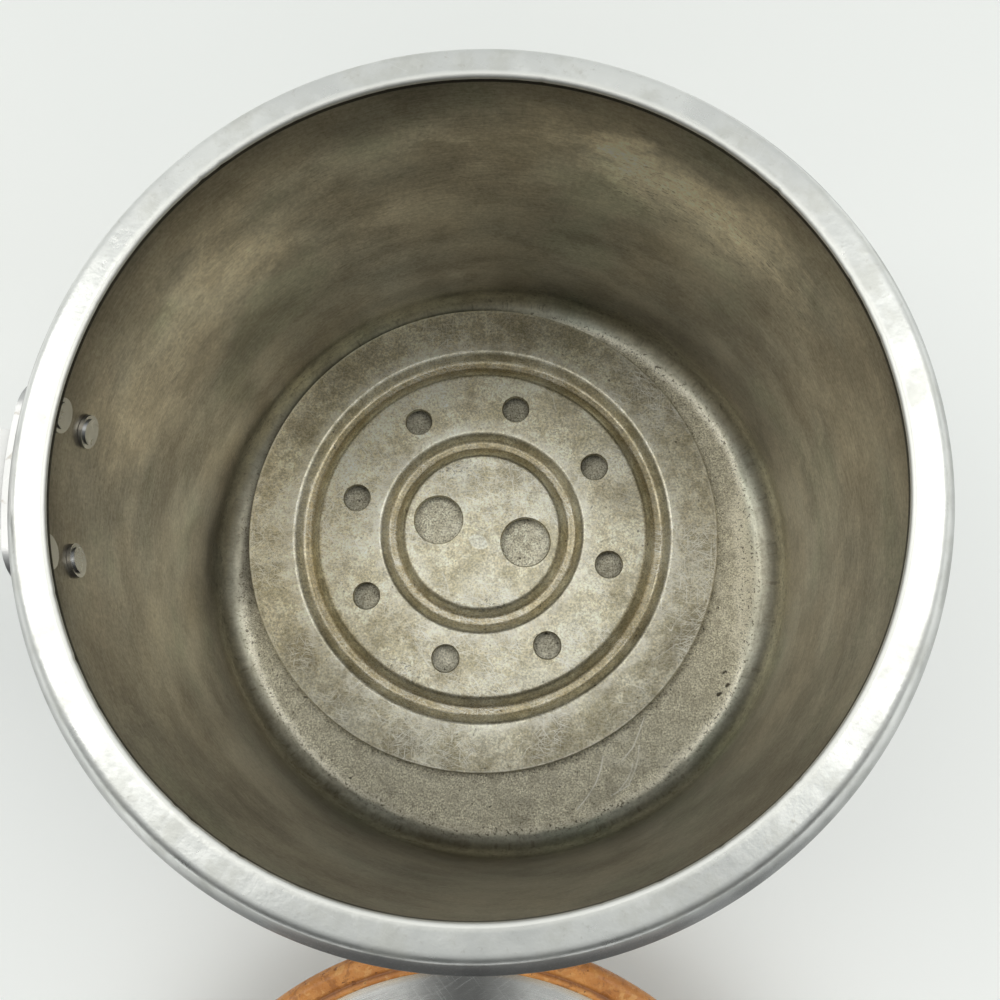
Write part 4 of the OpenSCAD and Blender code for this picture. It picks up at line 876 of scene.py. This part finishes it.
def make_rack():
    radii = [0, 2.5, 5, 7.5, 10, 12.5, 15, 17.5, 20, 22.5, 24]
    for g, w_in, w_out, flat in GROOVES:
        radii += [g - w_in - 0.8]
        radii += [g - w_in + (w_in - flat) * i / 18 for i in range(19)] + [g - 0.45, g, g + 0.45]
        radii += [g + flat + (w_out - flat) * i / 18 for i in range(19)] + [g + w_out + 0.8]
        if g < 40:
            radii += [41.5, 43.5, 45.5, 47.5, 49.5, 51.5, 53.3]
    radii += [71.7, 73.5, 75.5, 77.5, 79.5, 81.2, RACK_R - 1.0, RACK_R - 0.6, RACK_R - 0.45]
    top = [(r, RACK_Z + groove_z(r)) for r in radii]
    bottom = [(r, RACK_Z - RACK_T + groove_z(r)) for r in radii]
    edge = arc(RACK_R - 0.45, RACK_Z - 0.45, 0.45, 90, 0, 5)[1:] + arc(RACK_R - 0.45, RACK_Z - RACK_T + 0.45, 0.45, 0, -90, 5)[:-1]
    prof = top + edge + bottom[::-1]

    # worn shoulders and edge, with a painted highlight on them
    def wear_and_highlight_of(r, z):
        w = 0.0
        for g, w_in, w_out, flat in GROOVES:
            w = max(w, 0.6 * (1 - abs(r - (g - w_in - 1.7)) / 1.7), 0.95 * (1 - abs(r - (g + w_out + 0.7)) / 2.2))
        if r > RACK_R - 0.7:
            w = max(w, 0.9)
        return max(0.0, w)

    def dirt_of(r, z):
        w = 0.0
        for g, w_in, w_out, flat in GROOVES:
            w = max(w, 1 - abs(r - g) / 2.8)
        return max(0.0, min(1.0, w * 1.6))

    wear_and_highlight = [wear_and_highlight_of(r, z) for r, z in prof]
    dirt = [dirt_of(r, z) for r, z in prof]
    flank = [flank_of(r) for r, z in prof]
    zero = [0.0] * len(prof)

    def shape(r, z, a, i):
        x, y = r * math.cos(a), r * math.sin(a)
        return r, z + 0.14 * nz(x, y, 0, 0.02)

    bm = lathe(prof, 384, centre=RACK_C, closed=False, shape=shape,
               attrs={"wear_and_highlight": wear_and_highlight, "dirt": dirt, "stain": zero, "pale": zero, "flank": flank})
    st, pa = bm.verts.layers.float["stain"], bm.verts.layers.float["pale"]
    for v in bm.verts:
        x, y = v.co.x / MM - RACK_C[0], v.co.y / MM - RACK_C[1]
        wx, wy = x + 4 * nz(x, y, 3, 0.09), y + 4 * nz(x, y, 8, 0.09)
        s = 0.0
        for cx, cy, cr, k in STAINS:
            d = math.hypot(wx - cx, wy - cy) / cr
            if d < 1.3:
                s = max(s, k * min(1.0, max(0.0, (1.3 - d) / 0.8)))
        v[st] = s
        s = 0.0
        for cx, cy, cr, k in PALE:
            d = math.hypot(wx - cx, wy - cy) / cr
            if d < 1.3:
                s = max(s, k * min(1.0, max(0.0, (1.3 - d) / 0.9)))
        v[pa] = s
    ob = finish_mesh("rack", bm, [RACK], "rack", ["steam_rack"])
    # holes, each with a softly rounded, worn upper edge that carries a painted highlight
    cut = bmesh.new()
    for hx, hy, hr, segs in HOLES:
        prof = [(0, RACK_Z + 2), (hr + 2.4, RACK_Z + 2), (hr + 0.34, RACK_Z + 0.02), (hr + 0.20, RACK_Z - 0.13), (hr + 0.08, RACK_Z - 0.30),
                (hr, RACK_Z - 0.55), (hr, RACK_Z - 3), (0, RACK_Z - 3)]
        edge = [0, 1, 1, 1, 0.9, 0.2, 0, 0]
        zeros = [0.0] * len(prof)
        one = lathe(prof, segs, centre=(RACK_C[0] + hx, RACK_C[1] + hy), closed=False,
                    attrs={"wear_and_highlight": edge, "dirt": zeros, "stain": zeros, "pale": zeros, "flank": zeros})
        me = bpy.data.meshes.new("cut_one")
        one.to_mesh(me)
        one.free()
        cut.from_mesh(me)
        bpy.data.meshes.remove(me)
    cme = bpy.data.meshes.new("cut")
    cut.to_mesh(cme)
    cut.free()
    cob = bpy.data.objects.new("cut", cme)
    bpy.context.scene.collection.objects.link(cob)
    mod = ob.modifiers.new("holes", "BOOLEAN")
    mod.operation = "DIFFERENCE"
    mod.solver = "EXACT"
    mod.object = cob
    apply_mods(ob)
    bpy.data.objects.remove(cob)
    bpy.data.meshes.remove(cme)
    ob.data.shade_smooth()
    ob.data.set_sharp_from_angle(angle=math.radians(27))
    return ob


def apply_mods(ob):
    """Turns the modified shape into the object's own mesh."""
    dg = bpy.context.evaluated_depsgraph_get()
    me = bpy.data.meshes.new_from_object(ob.evaluated_get(dg))
    old = ob.data
    ob.modifiers.clear()
    ob.data = me
    bpy.data.meshes.remove(old)
    me.name = ob.name


make_pot()
make_rack()


# ------------------------------------------------------------------ lid
def make_gasket():
    ri, ro = 89.5, 98.0
    z1, z0 = LID_Z + 3.0, LID_Z - 4.0      # lid lies upside down: its lower lip is on top
    k, q = 2.6, 0.9
    prof, groove = [], []

    def add(points, g=0.0):
        for p in points:
            prof.append(p)
            groove.append(g)

    add(arc(ro - k, z1 - k, k, 0, 90, 10))
    add([(ro - k - 1.0, z1), (ro - k - 2.0, z1 - 0.02), (92.9, z1 - 0.10)])
    # a fine groove sets off the thin inner bead
    add([(92.3, z1 - 0.35)], 0.5)
    add([(92.0, z1 - 0.75), (91.7, z1 - 0.85), (91.4, z1 - 0.75)], 1.0)
    add([(91.15, z1 - 0.45)], 0.4)
    add(arc(ri + q, z1 - 0.30 - q, q, 80, 180, 6))
    add([(ri, LID_Z)], 0.8)
    add([(95.5, LID_Z), (95.5, LID_Z - 1.0), (ri, LID_Z - 1.0)], 0.8)
    add(arc(ri + q, z0 + q, q, 180, 270, 6))
    add([(ri + q + 1.5, z0), (ro - k - 1.5, z0)])
    add(arc(ro - k, z0 + k, k, -90, 0, 10))

    def shape(r, z, a, i):
        x, y = r * math.cos(a), r * math.sin(a)
        if z > LID_Z + 0.6:
            z -= 0.22 * (0.5 + 0.5 * nz(x, y, 1, 0.09)) + 0.10 * (0.5 + 0.5 * nz(x, y, 4, 0.45))
            r -= 0.25 * (0.5 + 0.5 * nz(x, y, 9, 0.05)) * (1 if r > 96 else 0)
        return r, z

    bm = lathe(prof, 512, centre=LID_C, shape=shape, attrs={"groove": groove})
    finish_mesh("gasket", bm, [GASKET], "lid", ["lid_gasket"], sharp=55)


def make_disc():
    z1, z0 = LID_Z, LID_Z - 1.0
    prof = [(0, z1)] + [(r, z1) for r in (12, 24, 36, 48, 60, 72, 84, 90)] + arc(95.3 - 0.3, z1 - 0.3, 0.3, 90, 0, 3)
    prof += arc(95.3 - 0.3, z0 + 0.3, 0.3, 0, -90, 3) + [(r, z0) for r in (90, 84, 72, 60, 48, 36, 24, 12)] + [(0, z0)]
    bm = lathe(prof, 256, centre=LID_C, closed=False)
    finish_mesh("disc", bm, [DISC], "lid", ["lid_disc"], sharp=50)


make_gasket()
make_disc()

# ------------------------------------------------------------------ CAD nodes that stay, with their own finish
KEEP = {
    STEEL: ["handle_bracket", "bracket_rivets", "flame_guard", "handle_bolt", "hanging_ring", "catch_hook", "catch_pin",
            "catch_spring", "bridge_bar", "bridge_rivets", "centre_stud", "stud_nut", "hub_nut", "lever_arm", "grip_screws",
            "relief_plunger", "relief_spring", "safety_pin"],
    BRASS: ["thrust_washer", "regulator_base", "regulator_nut"],
    PHENOLIC: ["handle_grip", "lever_grip_top", "lever_grip_bottom", "regulator_cap"],
    BLACK_RUBBER: ["stud_seal", "regulator_seal", "safety_plug"],
}
for mat, names in KEEP.items():
    for n in names:
        ob = NODES[n]
        ob.data.materials.clear()
        ob.data.materials.append(mat)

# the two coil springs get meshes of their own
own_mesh(NODES["relief_spring"])
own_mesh(NODES["catch_spring"])

bpy.context.scene.view_settings.view_transform = "Standard"
